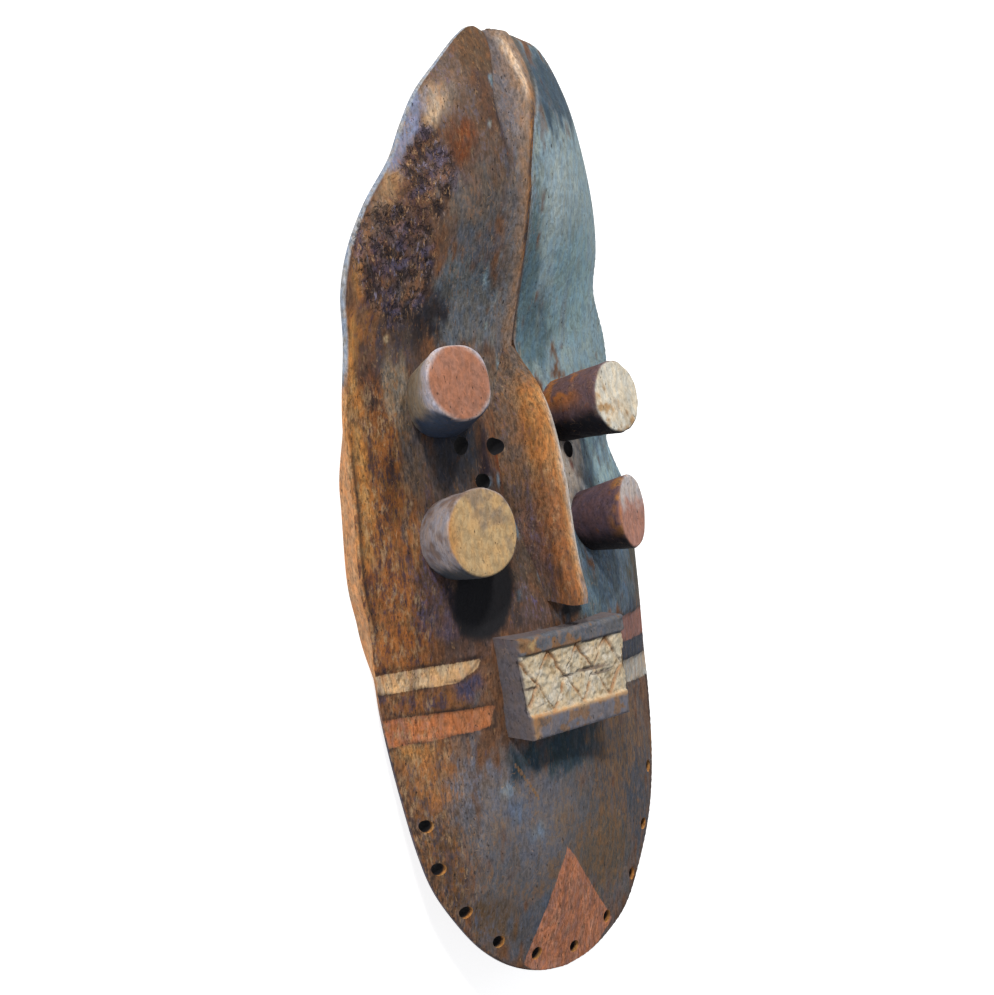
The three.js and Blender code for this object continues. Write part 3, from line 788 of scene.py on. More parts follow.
def plum_side(up: Array, right: Array, depth: Array, ragged: Array) -> tuple[Array, Array]:
    """Dark plum with orange worn near the end, and a painted shade of black underneath."""
    a = blend("66525C", "B07A44", ease(-0.15, 0.3, ragged) * (1 - ease(4, 14, depth)))
    # Painted shade on the tube's underside.
    under = ease(0.2, 0.75, -up + 0.15 * ragged)
    return blend(a, "1B171C", under), blend(blend("332A32", "6B4226", ease(0.1, 0.6, -ragged)),
                                           "151217", under)


PaintMaker = Callable[[Array, Array, Array, Array], tuple[Array, Array]]
END_PAINT: dict[EndPaint, PaintMaker] = {
    EndPaint.SALMON: salmon_end, EndPaint.CREAM: cream_end, EndPaint.WHITE: white_end,
    EndPaint.PINK: pink_end,
}
SIDE_PAINT: dict[SidePaint, PaintMaker] = {
    SidePaint.PALE: pale_side, SidePaint.LAVENDER: lavender_side, SidePaint.UMBER: umber_side,
    SidePaint.PLUM: plum_side,
}

TUBES = (
    Tube("upper_left", (-71, 90, 37), (-95, 104, 82), (26, 27), (-0.12, 0.20, 0.97),
         EndPaint.SALMON, SidePaint.PALE, squareness=2.6),
    Tube("lower_left", (-70, -7, 44), (-85, 1, 86), (29.5, 31), (-0.08, 0.10, 0.99),
         EndPaint.CREAM, SidePaint.LAVENDER, squareness=2.15),
    Tube("upper_right", (50, 73, 39), (57, 83, 88), (23, 26.5), (0.10, 0.15, 0.98),
         EndPaint.WHITE, SidePaint.UMBER, squareness=2.1, lumps=0.8),
    Tube("lower_right", (63, -11, 46), (66, -2, 90), (22.5, 27.5), (0.37, 0.10, 0.92),
         EndPaint.PINK, SidePaint.PLUM, squareness=2.1),
)


@dataclass(frozen=True)
class Nose:
    """The long blade of the nose."""

    surface: Surface
    middle: float = 1
    overhang: float = 2.5
    overhang_run: float = 9

    def sheet(self, stations: int = 110, steps: int = 17) -> Sheet:
        """Cross-sections from the overhanging tip to the brow.

        Each half is a smooth curve through its crown, its edge, its flank and its sunk foot.

        Args:
            stations: How many cross-sections there are.
            steps: How many points each half section has.

        Returns:
            The closed sheet.
        """
        top, foot = SmoothCurve(NOSE_TOP), SmoothCurve(NOSE_FOOT)
        ys = np.linspace(NOSE_TOP[0][0], NOSE_TOP[-1][0], stations)
        base = self.surface.face(np.zeros_like(ys), ys)
        peak, width = top(ys), foot(ys)
        rise = np.maximum(peak - base, 1)
        edge = np.minimum(SmoothCurve(NOSE_EDGE)(ys), width * 0.8)
        half = np.stack([
            np.stack([0 * ys, peak + 1.5]), np.stack([edge * 0.6, peak + 0.9]),
            np.stack([edge, peak - 0.3 * np.minimum(rise, 9)]),
            np.stack([lerp(edge, width, 0.16), lerp(base, peak, 0.62)]),
            np.stack([lerp(edge, width, 0.45), base + 0.32 * rise]),
            np.stack([width, base - 3]), np.stack([width, base - 14]),
        ])
        knots = np.array([0, 0.17, 0.3, 0.46, 0.64, 0.86, 1])
        fine = np.linspace(0, 1, steps)
        shape = np.array([[SmoothCurve(list(zip(knots, half[:, k, i])))(fine) for k in range(2)]
                          for i in range(stations)])
        x = np.hstack([-shape[:, 0, :0:-1], shape[:, 0]]) + self.middle
        z = np.hstack([shape[:, 1, :0:-1], shape[:, 1]])
        drop = np.clip((peak[:, None] - z) / rise[:, None], 0, 1)
        y = ys[:, None] + self.overhang * drop * (1 - ease(0, self.overhang_run, ys - ys[0]))[:, None]
        grid = np.stack([x, y, z], -1)
        flat = grid.reshape(-1, 3)
        grid[..., 0] += 0.5 * noise(flat, (8, 30, 9), 31, 3).reshape(x.shape)
        grid[..., 2] += 0.35 * noise(flat, (6, 26, 9), 32, 3).reshape(x.shape)
        inner = np.repeat(grid[:, :1] * 0.5 + grid[:, -1:] * 0.5, 2, axis=1)
        ring = np.concatenate([grid, inner[:, :1]], axis=1)
        caps = [np.stack([ring[end], np.broadcast_to(ring[end].mean(0), ring[end].shape)])
                for end in (0, -1)]
        return Sheet.joined([
            grid_sheet(ring, Form.NOSE, wrap=True),
            grid_sheet(caps[0], Form.NOSE, wrap=True, flip=True),
            grid_sheet(caps[1], Form.NOSE, wrap=True),
        ])


@dataclass(frozen=True)
class Mouth:
    """The block of the mouth: two lips and, between them, two rows of pointed teeth."""

    front: float = 88
    foot: float = 40
    top_left: tuple[float, float] = (-59, -78)
    top_right: tuple[float, float] = (53, -77)
    bottom_right: tuple[float, float] = (55, -152)
    bottom_left: tuple[float, float] = (-46, -152)
    rounding: float = 3
    upper_lip: float = 12
    lower_lip: float = 18
    recess: float = 2.4
    first_tooth: float = -0.03
    tooth_pitch: float = 0.28
    tooth: float = 0.7
    groove: float = 1.5

    @property
    def depth(self) -> float:
        """The block's height from top to bottom."""
        return self.top_left[1] - self.bottom_left[1]

    def place(self, across: Array, down: Array) -> tuple[Array, Array]:
        """The x and y of a point by its share across and its distance down from the top."""
        t = down / self.depth
        left = lerp(self.top_left[0], self.bottom_left[0], t)
        right = lerp(self.top_right[0], self.bottom_right[0], t)
        return lerp(left, right, across), lerp(self.top_left[1], self.top_right[1], across) - down

    def across_down(self, x: Array, y: Array) -> tuple[Array, Array]:
        """The inverse of place, with the small slope of the top edge left out."""
        down = self.top_left[1] - y
        t = down / self.depth
        left = lerp(self.top_left[0], self.bottom_left[0], t)
        right = lerp(self.top_right[0], self.bottom_right[0], t)
        return (x - left) / (right - left), down

    @property
    def zone(self) -> tuple[float, float, float]:
        """The top, the middle and the bottom of the teeth, as distances down from the block's top."""
        top, bottom = self.upper_lip, self.depth - self.lower_lip
        return top, (top + bottom) / 2, bottom

    def tooth_field(self, across: Array, down: Array) -> Array:
        """How far inside a tooth a point is, in millimetres, negative in the diamonds between.

        The upper teeth narrow downwards to the middle line and the lower ones upwards, and they
        meet point to point, so each side is a straight slanting line: the tooth's half width
        there less the distance from its middle, times the cosine of the slant.

        Args:
            across: The share of the block's width, from left to right.
            down: The distance down from the block's top, in millimetres.

        Returns:
            The distances in millimetres.
        """
        top, middle, _ = self.zone
        pitch = self.tooth_pitch * (self.top_right[0] - self.top_left[0])
        places = np.stack([across * ROW_WIDTH, down, 0 * down], -1).reshape(-1, 3)
        across = across + 0.014 * noise(places, (12, 9, 9), 57, 2).reshape(across.shape)
        phase = (across - self.first_tooth) / self.tooth_pitch
        aside = np.abs(phase - np.floor(phase) - 0.5) * pitch
        to_point = np.abs(down - middle) / (middle - top)
        cosine = (middle - top) / math.hypot(middle - top, pitch / 2)
        return (pitch / 2 * np.clip(to_point, 0, 1) - aside) * cosine

    def slits(self, across: Array, down: Array) -> Array:
        """Where the row is cut through, from 0 to 1: three flat lenses and a short notch.

        Args:
            across: The share of the block's width, from left to right.
            down: The distance down from the block's top, in millimetres.

        Returns:
            The amounts.
        """
        level = down - self.zone[1]
        lenses = (
            1 - np.hypot((across - 0.66) / 0.21, (level + 1.0 - 3 * (across - 0.66)) / 1.9),
            1 - np.hypot((across - 0.75) / 0.15, (level - 3.6) / 1.1),
            1 - np.hypot((across - 0.42) / 0.07, level / 1.0),
            1 - np.hypot((across - 0.05) / 0.08, (level - 2.5) / 1.5),
        )
        return ease(0, 0.5, np.maximum.reduce(lenses))

    def front_height(self, across: Array, down: Array) -> Array:
        """The height of the block's front over its recess, teeth, grooves and slits."""
        top, _, bottom = self.zone
        inside = ease(-0.8, 0.8, down - top) * (1 - ease(-0.8, 0.8, down - bottom))
        field = self.tooth_field(across, down)
        carved = self.tooth * ease(-0.5, 0.5, field) - self.groove * np.exp(-((field / 0.8) ** 2))
        return self.front - inside * (self.recess - carved) - 0.9 * self.slits(across, down) * inside

    def sheet(self, columns: int = 151, rows: int = 101) -> Sheet:
        """The block as a slab whose front carries the carving and whose edges are rounded.

        Args:
            columns: How many columns the grid has.
            rows: How many rows the grid has.

        Returns:
            The closed sheet.
        """
        across, down = np.meshgrid(np.linspace(0, 1, columns), np.linspace(self.depth, 0, rows))
        x, y = self.place(across, down)
        z = self.front_height(across, down)
        width = self.top_right[0] - self.top_left[0]
        near = np.minimum(np.minimum(across, 1 - across) * width, np.minimum(down, self.depth - down))
        r = self.rounding
        z -= r - np.sqrt(np.maximum(r**2 - np.clip(r - near, 0, r) ** 2, 0))
        places = np.stack([x, y, z], -1).reshape(-1, 3)
        hewn = inside_zone(down, self) * noise(places, (5, 4.5, 9), 53, 3).reshape(z.shape)
        chipped_edge = ease(0, 5, 6 - near) * ease(0.1, 0.7, noise(places, (6, 6, 9), 54, 2).reshape(z.shape))
        z += 0.45 * noise(places, (7, 9, 9), 51, 3).reshape(z.shape) + 1.0 * hewn - 1.5 * chipped_edge
        along_y = np.stack([0 * y, y, 0 * y], -1).reshape(-1, 3)
        x = x + 0.6 * noise(along_y, (9, 12, 9), 52, 2).reshape(z.shape) * ease(0, 8, r * 2 - near)
        heights = (self.foot + 16, self.front - 18, self.front - 5.5, self.front - 4.5)
        levels = [np.stack([x, y, np.full_like(z, h)], -1) for h in heights]
        return slab(np.stack([x, y, z], -1), levels,
                    np.stack([x, y, np.full_like(z, self.foot)], -1), Form.MOUTH, Form.MOUTH)


def inside_zone(down: Array, mouth: Mouth) -> Array:
    """1 between the two lips and 0 on them, with a short smooth step."""
    top, _, bottom = mouth.zone
    return ease(0, 2, down - top) * (1 - ease(-2, 0, down - bottom))


def hole_sheet(
    place: tuple[float, float], diameter: float, top: float, around: int = 28
) -> Sheet:
    """A straight round pin through the shell, a little uneven, that is cut away for a hole.

    Args:
        place: The hole's x and y.
        diameter: Its diameter.
        top: The face's height there. The pin has close rings on both sides of it.
        around: How many points each ring has.

    Returns:
        The closed pin.
    """
    angle = np.linspace(0, 2 * math.pi, around, endpoint=False)
    radius = diameter / 2 * (1 + 0.05 * np.sin(2 * angle + place[0]) + 0.03 * np.sin(3 * angle))
    close = [(1, z) for z in np.linspace(top - 28, top + 12, 27)]
    rings = [
        np.stack([place[0] + s * radius * np.cos(angle), place[1] + s * radius * np.sin(angle),
                  np.full(around, z)], -1)
        for s, z in [(TINY, -40), (1, -40), *close, (1, 120), (TINY, 120)]
    ]
    grid = np.array(rings)
    for pole in (0, -1):
        grid[pole] = grid[pole].mean(0)
    return Sheet.joined([grid_sheet(grid, Form.HOLE, wrap=True)])


def notch_sheet(x: float = -9.3, y: float = 343.5, width: float = 8, past: float = 5) -> Sheet:
    """A wedge that is cut away for the notch in the crown."""
    beyond = CROWN_TIP[1] + past
    half = width / 2 * (beyond - y) / (CROWN_TIP[1] - y)
    corners = np.array([(x, y), (x + half, beyond), (x - half, beyond)])
    rings = [np.column_stack([corners, np.full(3, z)]) for z in (-5, 80)]
    grid = np.array([np.tile(rings[0].mean(0), (3, 1)), *rings, np.tile(rings[1].mean(0), (3, 1))])
    return Sheet.joined([grid_sheet(grid, Form.FACE, wrap=True)])


@dataclass(frozen=True)
class Patch:
    """A soft-edged patch of paint, as an ellipse with a ragged edge.

    Two colours share it in streaks, and share_b says how much the second one takes.
    """

    x: float
    y: float
    reach_x: float
    reach_y: float
    a: str
    b: str
    share_b: float = 0.4
    strength: float = 1.0
    turn: float = 0.0
    soft: float = 0.45

    def weight(self, places: Array, ragged: Array) -> Array:
        """How strongly the patch covers each place: 1 well inside, falling to 0 at its edge."""
        angle = math.radians(self.turn)
        dx, dy = places[:, 0] - self.x, places[:, 1] - self.y
        along = (dx * math.cos(angle) + dy * math.sin(angle)) / self.reach_x
        across = (dy * math.cos(angle) - dx * math.sin(angle)) / self.reach_y
        far = np.sqrt(along**2 + across**2) + 0.4 * ragged
        return self.strength * (1 - ease(1 - self.soft, 1 + self.soft * 0.5, far))


FACE_PAINT = (
    Patch(-60, 270, 80, 100, "6A5648", "5C545A", 0.47),
    Patch(-50, 320, 20, 22, "6F5D52", "5C5260", 0.45, turn=-20),
    Patch(-24, 326, 16, 34, "5E4834", "4A3830", 0.42),
    Patch(-28, 298, 10, 24, "5C4334", "40302E", 0.45),
    Patch(-51, 264, 11, 23, "6E3C1C", "54321F", 0.4, soft=0.6),
    Patch(-88, 238, 26, 52, "6A4C3A", "42302E", 0.5, turn=-24),
    Patch(-112, 180, 27, 42, "6E5040", "4A3A42", 0.5, turn=-14),
    Patch(-74, 278, 13, 18, "664A38", "40302C", 0.5, turn=-20),
    Patch(-112, 198, 14, 22, "57506A", "33283A", 0.5, strength=0.7),
    Patch(-60, 240, 18, 12, "5F576A", "5A4A48", 0.45, strength=0.8),
    Patch(-68, 220, 9, 24, "664C3A", "483A34", 0.45),
    Patch(-42, 222, 24, 36, "66605C", "6A5648", 0.45),
    Patch(-36, 194, 30, 20, "525A64", "5C5450", 0.45, turn=30, strength=0.85),
    Patch(-52, 166, 50, 28, "5E666C", "5E5C5A", 0.42),
    Patch(-34, 142, 42, 20, "70767C", "726E6A", 0.42),
    # Painted shade: dark slate on the lower left forehead, which slopes down away from the lights.
    Patch(-80, 156, 22, 17, "33363E", "484248", 0.4, turn=20),
    # Pale cream on the left hump, partly worn paint and partly a painted highlight.
    Patch(-60, 297, 10, 15, "B29C84", "846C56", 0.42, turn=-25, soft=0.9, strength=0.9),
    Patch(-67, 286, 5, 10, "C2AC90", "8C745C", 0.35, turn=-30, soft=0.9, strength=0.8),
    Patch(-97, 246, 9, 17, "9C8068", "6A5446", 0.5, turn=-24, soft=0.7, strength=0.85),
    Patch(-100, 232, 7, 18, "B99468", "6C4E38", 0.45, turn=-25, soft=0.9, strength=0.9),
    Patch(-114, 216, 5, 24, "BFA27E", "7A5C44", 0.42, turn=-24, soft=0.9, strength=0.85),
    Patch(-127, 174, 6, 11, "9A6838", "5A3828", 0.45, soft=0.8, strength=0.8),
    Patch(-108, 210, 12, 22, "58443C", "463A3E", 0.45, soft=0.6, strength=0.85),
    Patch(-82, 184, 18, 24, "523E38", "443638", 0.45, soft=0.4, strength=0.8),
    # Painted shade: near black on the left brow just above the upper left tube.
    Patch(-86, 139, 22, 21, "242026", "201C22", 0.4, soft=0.5, turn=25),
    Patch(-128, 182, 4, 26, "B08350", "6A4A34", 0.45, turn=-6, soft=0.9, strength=0.8),
    Patch(-122, 20, 34, 145, "A06E3A", "4A3432", 0.5),
    Patch(-134, 60, 8, 90, "BE8A4C", "7E5430", 0.4, soft=0.9, strength=0.9),
    Patch(-119, 102, 12, 34, "48322C", "5E4030", 0.45, strength=0.9),
    Patch(-115, 34, 10, 60, "8C5A2C", "3A2A2A", 0.5, strength=0.85),
    Patch(-100, 124, 22, 30, "544640", "3E383E", 0.5, strength=0.9),
    Patch(-112, -54, 26, 44, "A46C3A", "4E3634", 0.48, strength=0.95),
    Patch(-92, -42, 17, 34, "6A5040", "564858", 0.5),
    Patch(-107, 136, 1.8, 3, "B8A078", "8A6A4C", 0.3, soft=0.9),
    Patch(-107, 90, 2.6, 3, "B49C7A", "8A6A4C", 0.3, soft=0.9),
    Patch(-62, 45, 36, 48, "605550", "564C54", 0.45),
    Patch(-96, 60, 12, 66, "695A4E", "54464A", 0.45),
    Patch(-100, 96, 12, 26, "7A7062", "5E5650", 0.4, strength=0.9),
    # Painted shadow of the upper left tube: dark slate below it, a dark blue band just under it, and a dark
    # strip between the sight holes.
    Patch(-60, 56, 30, 26, "474A54", "4A4048", 0.35, soft=0.6),
    Patch(-68, 68, 26, 9, "2B3444", "333A46", 0.35, soft=0.6),
    Patch(-38, 46, 7, 34, "352A34", "4E3A36", 0.4, soft=0.6),
    Patch(-22, 40, 8, 40, "6C3A1C", "482C20", 0.45, soft=0.6),
    # Brown grey beside the nose's left flank, darkened as painted shade.
    Patch(-16, -24, 22, 58, "54453A", "48404A", 0.42),
    Patch(-20, 96, 22, 26, "665B52", "5E5256", 0.42),
    Patch(-30, -64, 26, 18, "62504A", "594F6C", 0.45),
    Patch(-84, -62, 12, 24, "5C5060", "4A3C40", 0.4, strength=0.8),
    # Painted shadow: near black under the lower left tube.
    Patch(-62, -52, 24, 30, "16171E", "221E24", 0.4, soft=0.5),
    Patch(-42, -84, 60, 9, "5E483E", "4E4450", 0.4),
    Patch(-98, -119, 34, 8, "94663C", "503E44", 0.5, soft=0.3),
    Patch(-74, -112, 12, 10, "474660", "54423C", 0.4),
    Patch(-54, -122, 14, 40, "7E5C44", "5E4C46", 0.4),
    Patch(90, 190, 84, 190, "8BA4AD", "728B94", 0.42, soft=0.2),
    Patch(62, 230, 66, 125, "96AEB6", "7E979F", 0.42),
    # Painted shade: darker teal beside the crest's right side.
    Patch(16, 172, 12, 58, "5A7680", "48626C", 0.45, strength=0.9, turn=4),
    # Pale blue grey on the right forehead, partly paint and partly a painted highlight.
    Patch(44, 240, 22, 34, "AFC3C8", "97ADB4", 0.35, soft=0.9, strength=0.8),
    Patch(50, 306, 50, 34, "415666", "4E6674", 0.4, soft=0.5),
    Patch(13, 322, 12, 28, "5E5C58", "4A464A", 0.4),
    Patch(34, 138, 30, 26, "5E7984", "526A76", 0.4),
    Patch(75, 160, 32, 40, "8AAAB4", "74929C", 0.42),
    Patch(36, 150, 4, 20, "5C4A42", "4A5A60", 0.5, strength=0.3, soft=0.9),
    Patch(66, 142, 4, 22, "6A4C3E", "63808A", 0.5, strength=0.35, soft=0.9),
    Patch(88, 45, 48, 42, "8CACB6", "7494A0", 0.4),
    Patch(90, -20, 90, 92, "667A8A", "5E6C78", 0.42, soft=0.25),
    Patch(52, 28, 22, 32, "D0C6BA", "B4A698", 0.4, soft=0.6),
    Patch(104, 20, 34, 22, "A8C8D2", "90B4C0", 0.4, soft=0.6),
    Patch(60, 24, 2.6, 3.4, "4A2A24", "4A2A24", 0.3, soft=0.8),
    Patch(54, 33, 1.8, 6, "8A5240", "8A5240", 0.3, soft=0.8, turn=20),
    Patch(105, -40, 58, 46, "647A8C", "5E6864", 0.4),
    Patch(140, -52, 22, 38, "555648", "444038", 0.5),
    Patch(38, -70, 24, 26, "5E7480", "4A5C68", 0.4),
    Patch(118, -112, 60, 30, "3A4353", "544A44", 0.35),
    Patch(0, -240, 175, 100, "6A6A6E", "6E5C4E", 0.48),
    Patch(-104, -178, 24, 38, "B27F50", "624E44", 0.48),
    Patch(-110, -154, 16, 9, "B08450", "74563A", 0.42, soft=0.8),
    Patch(-94, -236, 20, 62, "6C533C", "474046", 0.48, turn=18),
    Patch(-62, -188, 28, 32, "767070", "6C6E78", 0.5, strength=0.85),
    Patch(-48, -292, 40, 18, "70593F", "585860", 0.5, strength=0.8, turn=-35),
    Patch(-30, -214, 42, 42, "74747C", "74685E", 0.48, strength=0.9),
    Patch(-49, -190, 5, 6, "8797A2", "66737E", 0.4, soft=0.95, strength=0.8),
    Patch(-27, -226, 6, 7, "8090A0", "66737E", 0.4, soft=0.95, strength=0.8),
    Patch(-42, -208, 9, 14, "5A6E86", "626A76", 0.4, soft=0.9, strength=0.6),
    # Painted shadow: dark slate under the mouth block.
    Patch(14, -170, 58, 19, "30444F", "3E4E56", 0.4),
    Patch(92, -205, 58, 60, "646062", "785E46", 0.52),
    Patch(54, -258, 40, 36, "6C645A", "765C42", 0.5, strength=0.9),
    Patch(112, -235, 26, 40, "46505E", "625044", 0.45, strength=0.8),
    Patch(-20, -300, 30, 30, "565E6A", "64606A", 0.4, strength=0.8),
)

# The flat on the left brow: lavender paint, its blue partly a painted tint of the bluish light from the left.
LAVENDER = Patch(-83, 279, 8.5, 29, "868CA2", "78788E", 0.42, turn=-24, soft=0.35)
NOSE_PAINT = (
    Patch(2, 96, 26, 26, "6C5A4C", "5A4A46", 0.42),
    Patch(-10, -20, 14, 34, "6A5048", "5A4C58", 0.46, soft=0.7),
    Patch(2, -62, 14, 7, "9A7A5C", "5E5A68", 0.5),
)

CREST_LIGHT = SmoothCurve(((250, 4.5), (270, 4), (300, 0.5), (322, -3), (340, -5)))
MATTE = ("6F4F39", "4B3D44", 0.4)


@dataclass(frozen=True)
class Mark:
    """A patch of paint with a crisp edge, as a convex polygon given anticlockwise."""

    corners: tuple[tuple[float, float], ...]
    colour: str

    def inside(self, x: Array, y: Array) -> Array:
        """Distance in from the nearest side in millimetres, negative outside."""
        return inside_polygon(self.corners, x, y)


MARKS = (
    Mark(((-31, -327), (14, -360), (69, -319), (2, -242.5)), "C48666"),
    Mark(((-146, -114), (-82, -107), (-70, -98), (-66, -90), (-99, -94), (-146, -97)), "E6C292"),
    Mark(((-146, -152), (-92, -147), (-58, -143), (-56, -127), (-92, -128), (-146, -131)), "C88254"),
    Mark(((50, -103), (175, -116), (175, -93), (50, -84)), "A9776B"),
    Mark(((50, -138), (175, -149), (175, -130), (50, -119)), "CBC6B8"),
    Mark(((-137, 184.5), (-136, 182), (-104, 153.5), (-105, 156)), "9A8058"),
    Mark(((-44, -172.5), (-25.2, -202.5), (-23, -201.5), (-41.8, -171.5)), "8E7254"),
)


@dataclass(frozen=True)
class Coat:
    """The paint on a set of points: two colours, their amounts, and a crisp mark on top."""

    a: Array
    b: Array
    share_b: Array
    wear: Array
    soot: Array
    fibre: Array
    rough: Array
    mark: Array
    mark_edge: Array

    @staticmethod
    def plain(count: int, a: Array, b: Array, share_b: Array) -> "Coat":
        """A coat of even fibre, without painted shade, chips or marks."""
        none = np.zeros(count)
        return Coat(a, b, share_b, none + 0.25, none.copy(), none + 0.7, none.copy(),
                    np.tile(pigment("808080"), (count, 1)), none - 9)

    def lay(self, a: str | None, b: str | None, weight: Array) -> None:
        """Lays one or both colours over the coat by a weight from 0 to 1 at each point."""
        for layer, code in ((self.a, a), (self.b, b)):
            if code:
                layer[:] = lerp(layer, pigment(code), weight[:, None])

    def darken(self, soot: Array) -> None:
        """Raises the painted shade to at least the given amounts."""
        self.soot[:] = np.maximum(self.soot, soot)


def blended(
    places: Array, base: tuple[str, str, float], patches: Sequence[Patch], seed: int
) -> Coat:
    """Lays the patches over the base one after another.

    Args:
        places: The points to paint, in millimetres.
        base: The two colours and the second one's share where no patch lies.
        patches: The patches in order.
        seed: Picks how the patches' edges are ragged.

    Returns:
        The coat at each point.
    """
    a = np.tile(pigment(base[0]), (len(places), 1))
    b = np.tile(pigment(base[1]), (len(places), 1))
    share = np.full(len(places), float(base[2]))
    ragged = noise(places, (10, 28, 14), seed, 2) + 0.8 * noise(places, (3.4, 10, 5), seed + 9, 2)
    for patch in patches:
        w = patch.weight(places, ragged)
        a = lerp(a, pigment(patch.a), w[:, None])
        b = lerp(b, pigment(patch.b), w[:, None])
        share = lerp(share, patch.share_b, w)
    return Coat.plain(len(places), a, b, share)


@dataclass(frozen=True)
class Painter:
    """Works out the coat of every form."""

    surface: Surface
    mouth: Mouth

    def coat(self, form: Form, places: Array) -> Coat:
        """The coat of the given points on a form."""
        makers = {
            Form.FACE: self.face, Form.RIM: self.rim, Form.NOSE: self.nose,
            Form.MOUTH: self.mouth_block, Form.HOLE: self.hole, Form.BACK: self.back,
            Form.TUBE: self.tube,
        }
        return makers[form](places)

    def face(self, places: Array) -> Coat:
        """The face: patches, then the crest, the chips, the shadows, the edges and the marks.

        Args:
            places: The points to work on, in millimetres.

        Returns:
            The coat at each point.
        """
        x, y = places[:, 0], places[:, 1]
        coat = blended(places, MATTE, FACE_PAINT, 61)
        right_brow = ease(8, 22, x) * ease(-60, 20, y)
        cheek = ease(84, 108, -x) * (1 - ease(90, 130, y)) * ease(-190, -120, y)
        chin = 1 - ease(-165, -130, y)
        coat.wear[:] = (0.32 + 0.35 * rough_share(x, y) + 0.4 * cheek) * (1 - 0.9 * right_brow)
        chin_left = chin * ease(60, 92, -x)
        chin_middle = chin * np.exp(-(((x + 15) / 52) ** 2))
        coat.wear[:] += 0.35 * chin_left
        fibre = 0.62 + 0.38 * cheek + 0.38 * chin_left - 0.3 * chin_middle
        coat.fibre[:] = lerp(fibre, 0.2, right_brow)
        self._crest(coat, x, y)
        self._chips(coat, x, y)
        self._shadows(coat, x, y)
        self._edges(coat, x, y)
        for mark in MARKS:
            inside = mark.inside(x, y)
            nearer = inside > coat.mark_edge
            coat.mark[:] = np.where(nearer[:, None], pigment(mark.colour), coat.mark)
            coat.mark_edge[:] = np.maximum(inside, coat.mark_edge)
        coat.fibre[:] = lerp(coat.fibre, 0.9, ease(-1, 1, coat.mark_edge) * (y < -240))
        return coat

    def _crest(self, coat: Coat, x: Array, y: Array) -> None:
        """The rib's own brown with a painted highlight along its top, its cream stripe as a painted
        highlight, the ochre beside it, the dark line beside it as a painted shadow, the strip, and painted
        shade in the groove at the strip's brink.

        Args:
            coat: The coat to paint on.
            x: The points across the face, in millimetres.
            y: The points up the face, in millimetres.
        """
        aside = x - self.surface.crest_middle(y)
        on = ease(108, 122, y)
        reach = self.surface.crest_reach(y)
        rib = on * (1 - ease(0.85, 1.15, np.abs(aside - 1) / (reach + 3)))
        coat.lay("947C68", "74645E", rib)
        # Painted highlight along the rib's top below the stripe.
        light = on * (1 - ease(235, 262, y)) * np.exp(-(((aside - 1.5) / 2.4) ** 2))
        coat.lay("A89080", "927A68", 0.7 * light)
        # The cream stripe is a painted highlight along the rib's lit edge.
        lit = ease(228, 262, y) * (1 - ease(334, 348, y))
        crest_highlight = lit * np.exp(-(((aside - CREST_LIGHT(y)) / 2.1) ** 2))
        coat.lay("D2BCA4", "B4957A", np.minimum(crest_highlight * 1.4, 1))
        ochre = ease(165, 200, y) * (1 - ease(285, 315, y)) * ease(-0.3, 0.15, aside / reach)
        ochre *= 1 - ease(1.4, 1.8, aside / reach)
        coat.lay("B47E42", "2E2426", ochre * 0.9)
        coat.share_b[:] = lerp(coat.share_b, 0.52, ochre)
        coat.fibre[:] = lerp(coat.fibre, 1.0, ochre)
        coat.lay("6E6A6A", "5E5654", on * np.exp(-(((aside + 10) / 5) ** 2)) * (1 - ease(235, 255, y)))
        # Painted shadow: a dark line along the rib's right side.
        line = on * (1 - ease(190, 225, y)) * ease(0.3, 0.5, aside / reach)
        coat.lay("2E2834", "3A323E", line * (1 - ease(1.4, 1.9, aside / reach)) * 0.85)
        bevel = on * ease(170, 200, y) * np.exp(-(((aside - reach * 1.9) / 1.8) ** 2))
        coat.lay("9AA4AC", "8496A0", bevel * 0.6 * (1 - ease(300, 320, y)))
        brink, foot = self.surface.brink(y), self.surface.crest_middle(y) - 6
        let_in = ease(238, 275, y) * ease(-1, 2, x - brink) * (1 - ease(-5, 3, x - foot))
        coat.lay("706A6C", "625450", let_in)
        # Painted shade in the groove at the strip's brink.
        groove = ease(240, 262, y) * np.exp(-(((x - brink) / 1.7) ** 2))
        coat.lay("33292C", "3A3038", groove * 0.85)

    def _chips(self, coat: Coat, x: Array, y: Array) -> None:
        """The rough left side of the forehead: dark inside each chip and light round it.

        Args:
            coat: The coat to paint on.
            x: The points across the face, in millimetres.
            y: The points up the face, in millimetres.
        """
        places = np.stack([x, y, 0 * x], -1)
        smooth = LAVENDER.weight(places, 0.8 * noise(places, (4, 9, 5), 75, 2))
        rough = rough_share(x, y) * (1 - smooth)
        rough = rough * ease(-0.5, 0.4, noise(places, (16, 30, 9), 78, 2) + 1.2 * rough - 0.3)
        chips = chipped(x, y) * (1 - smooth)
        coat.rough[:] = ease(0.0, 0.9, rough)
        coat.lay("3A2826", None, 0.5 * chips)
        coat.lay(None, "4A3A48", 0.4 * chips)
        blot = noise(places, (7, 13, 9), 76, 2) * np.minimum(1.6 * rough, 1)
        coat.lay("8E684C", "6A4C3A", ease(0.35, 0.7, blot) * 0.8)
        coat.lay("2E2220", "261C1E", ease(0.12, 0.42, -blot))
        violet = noise(places, (9, 8, 9), 77, 2) * np.minimum(1.6 * rough, 1)
        coat.lay("5E5872", "443E54", ease(0.4, 0.7, violet) * 0.65)
        coat.lay(LAVENDER.a, LAVENDER.b, smooth)

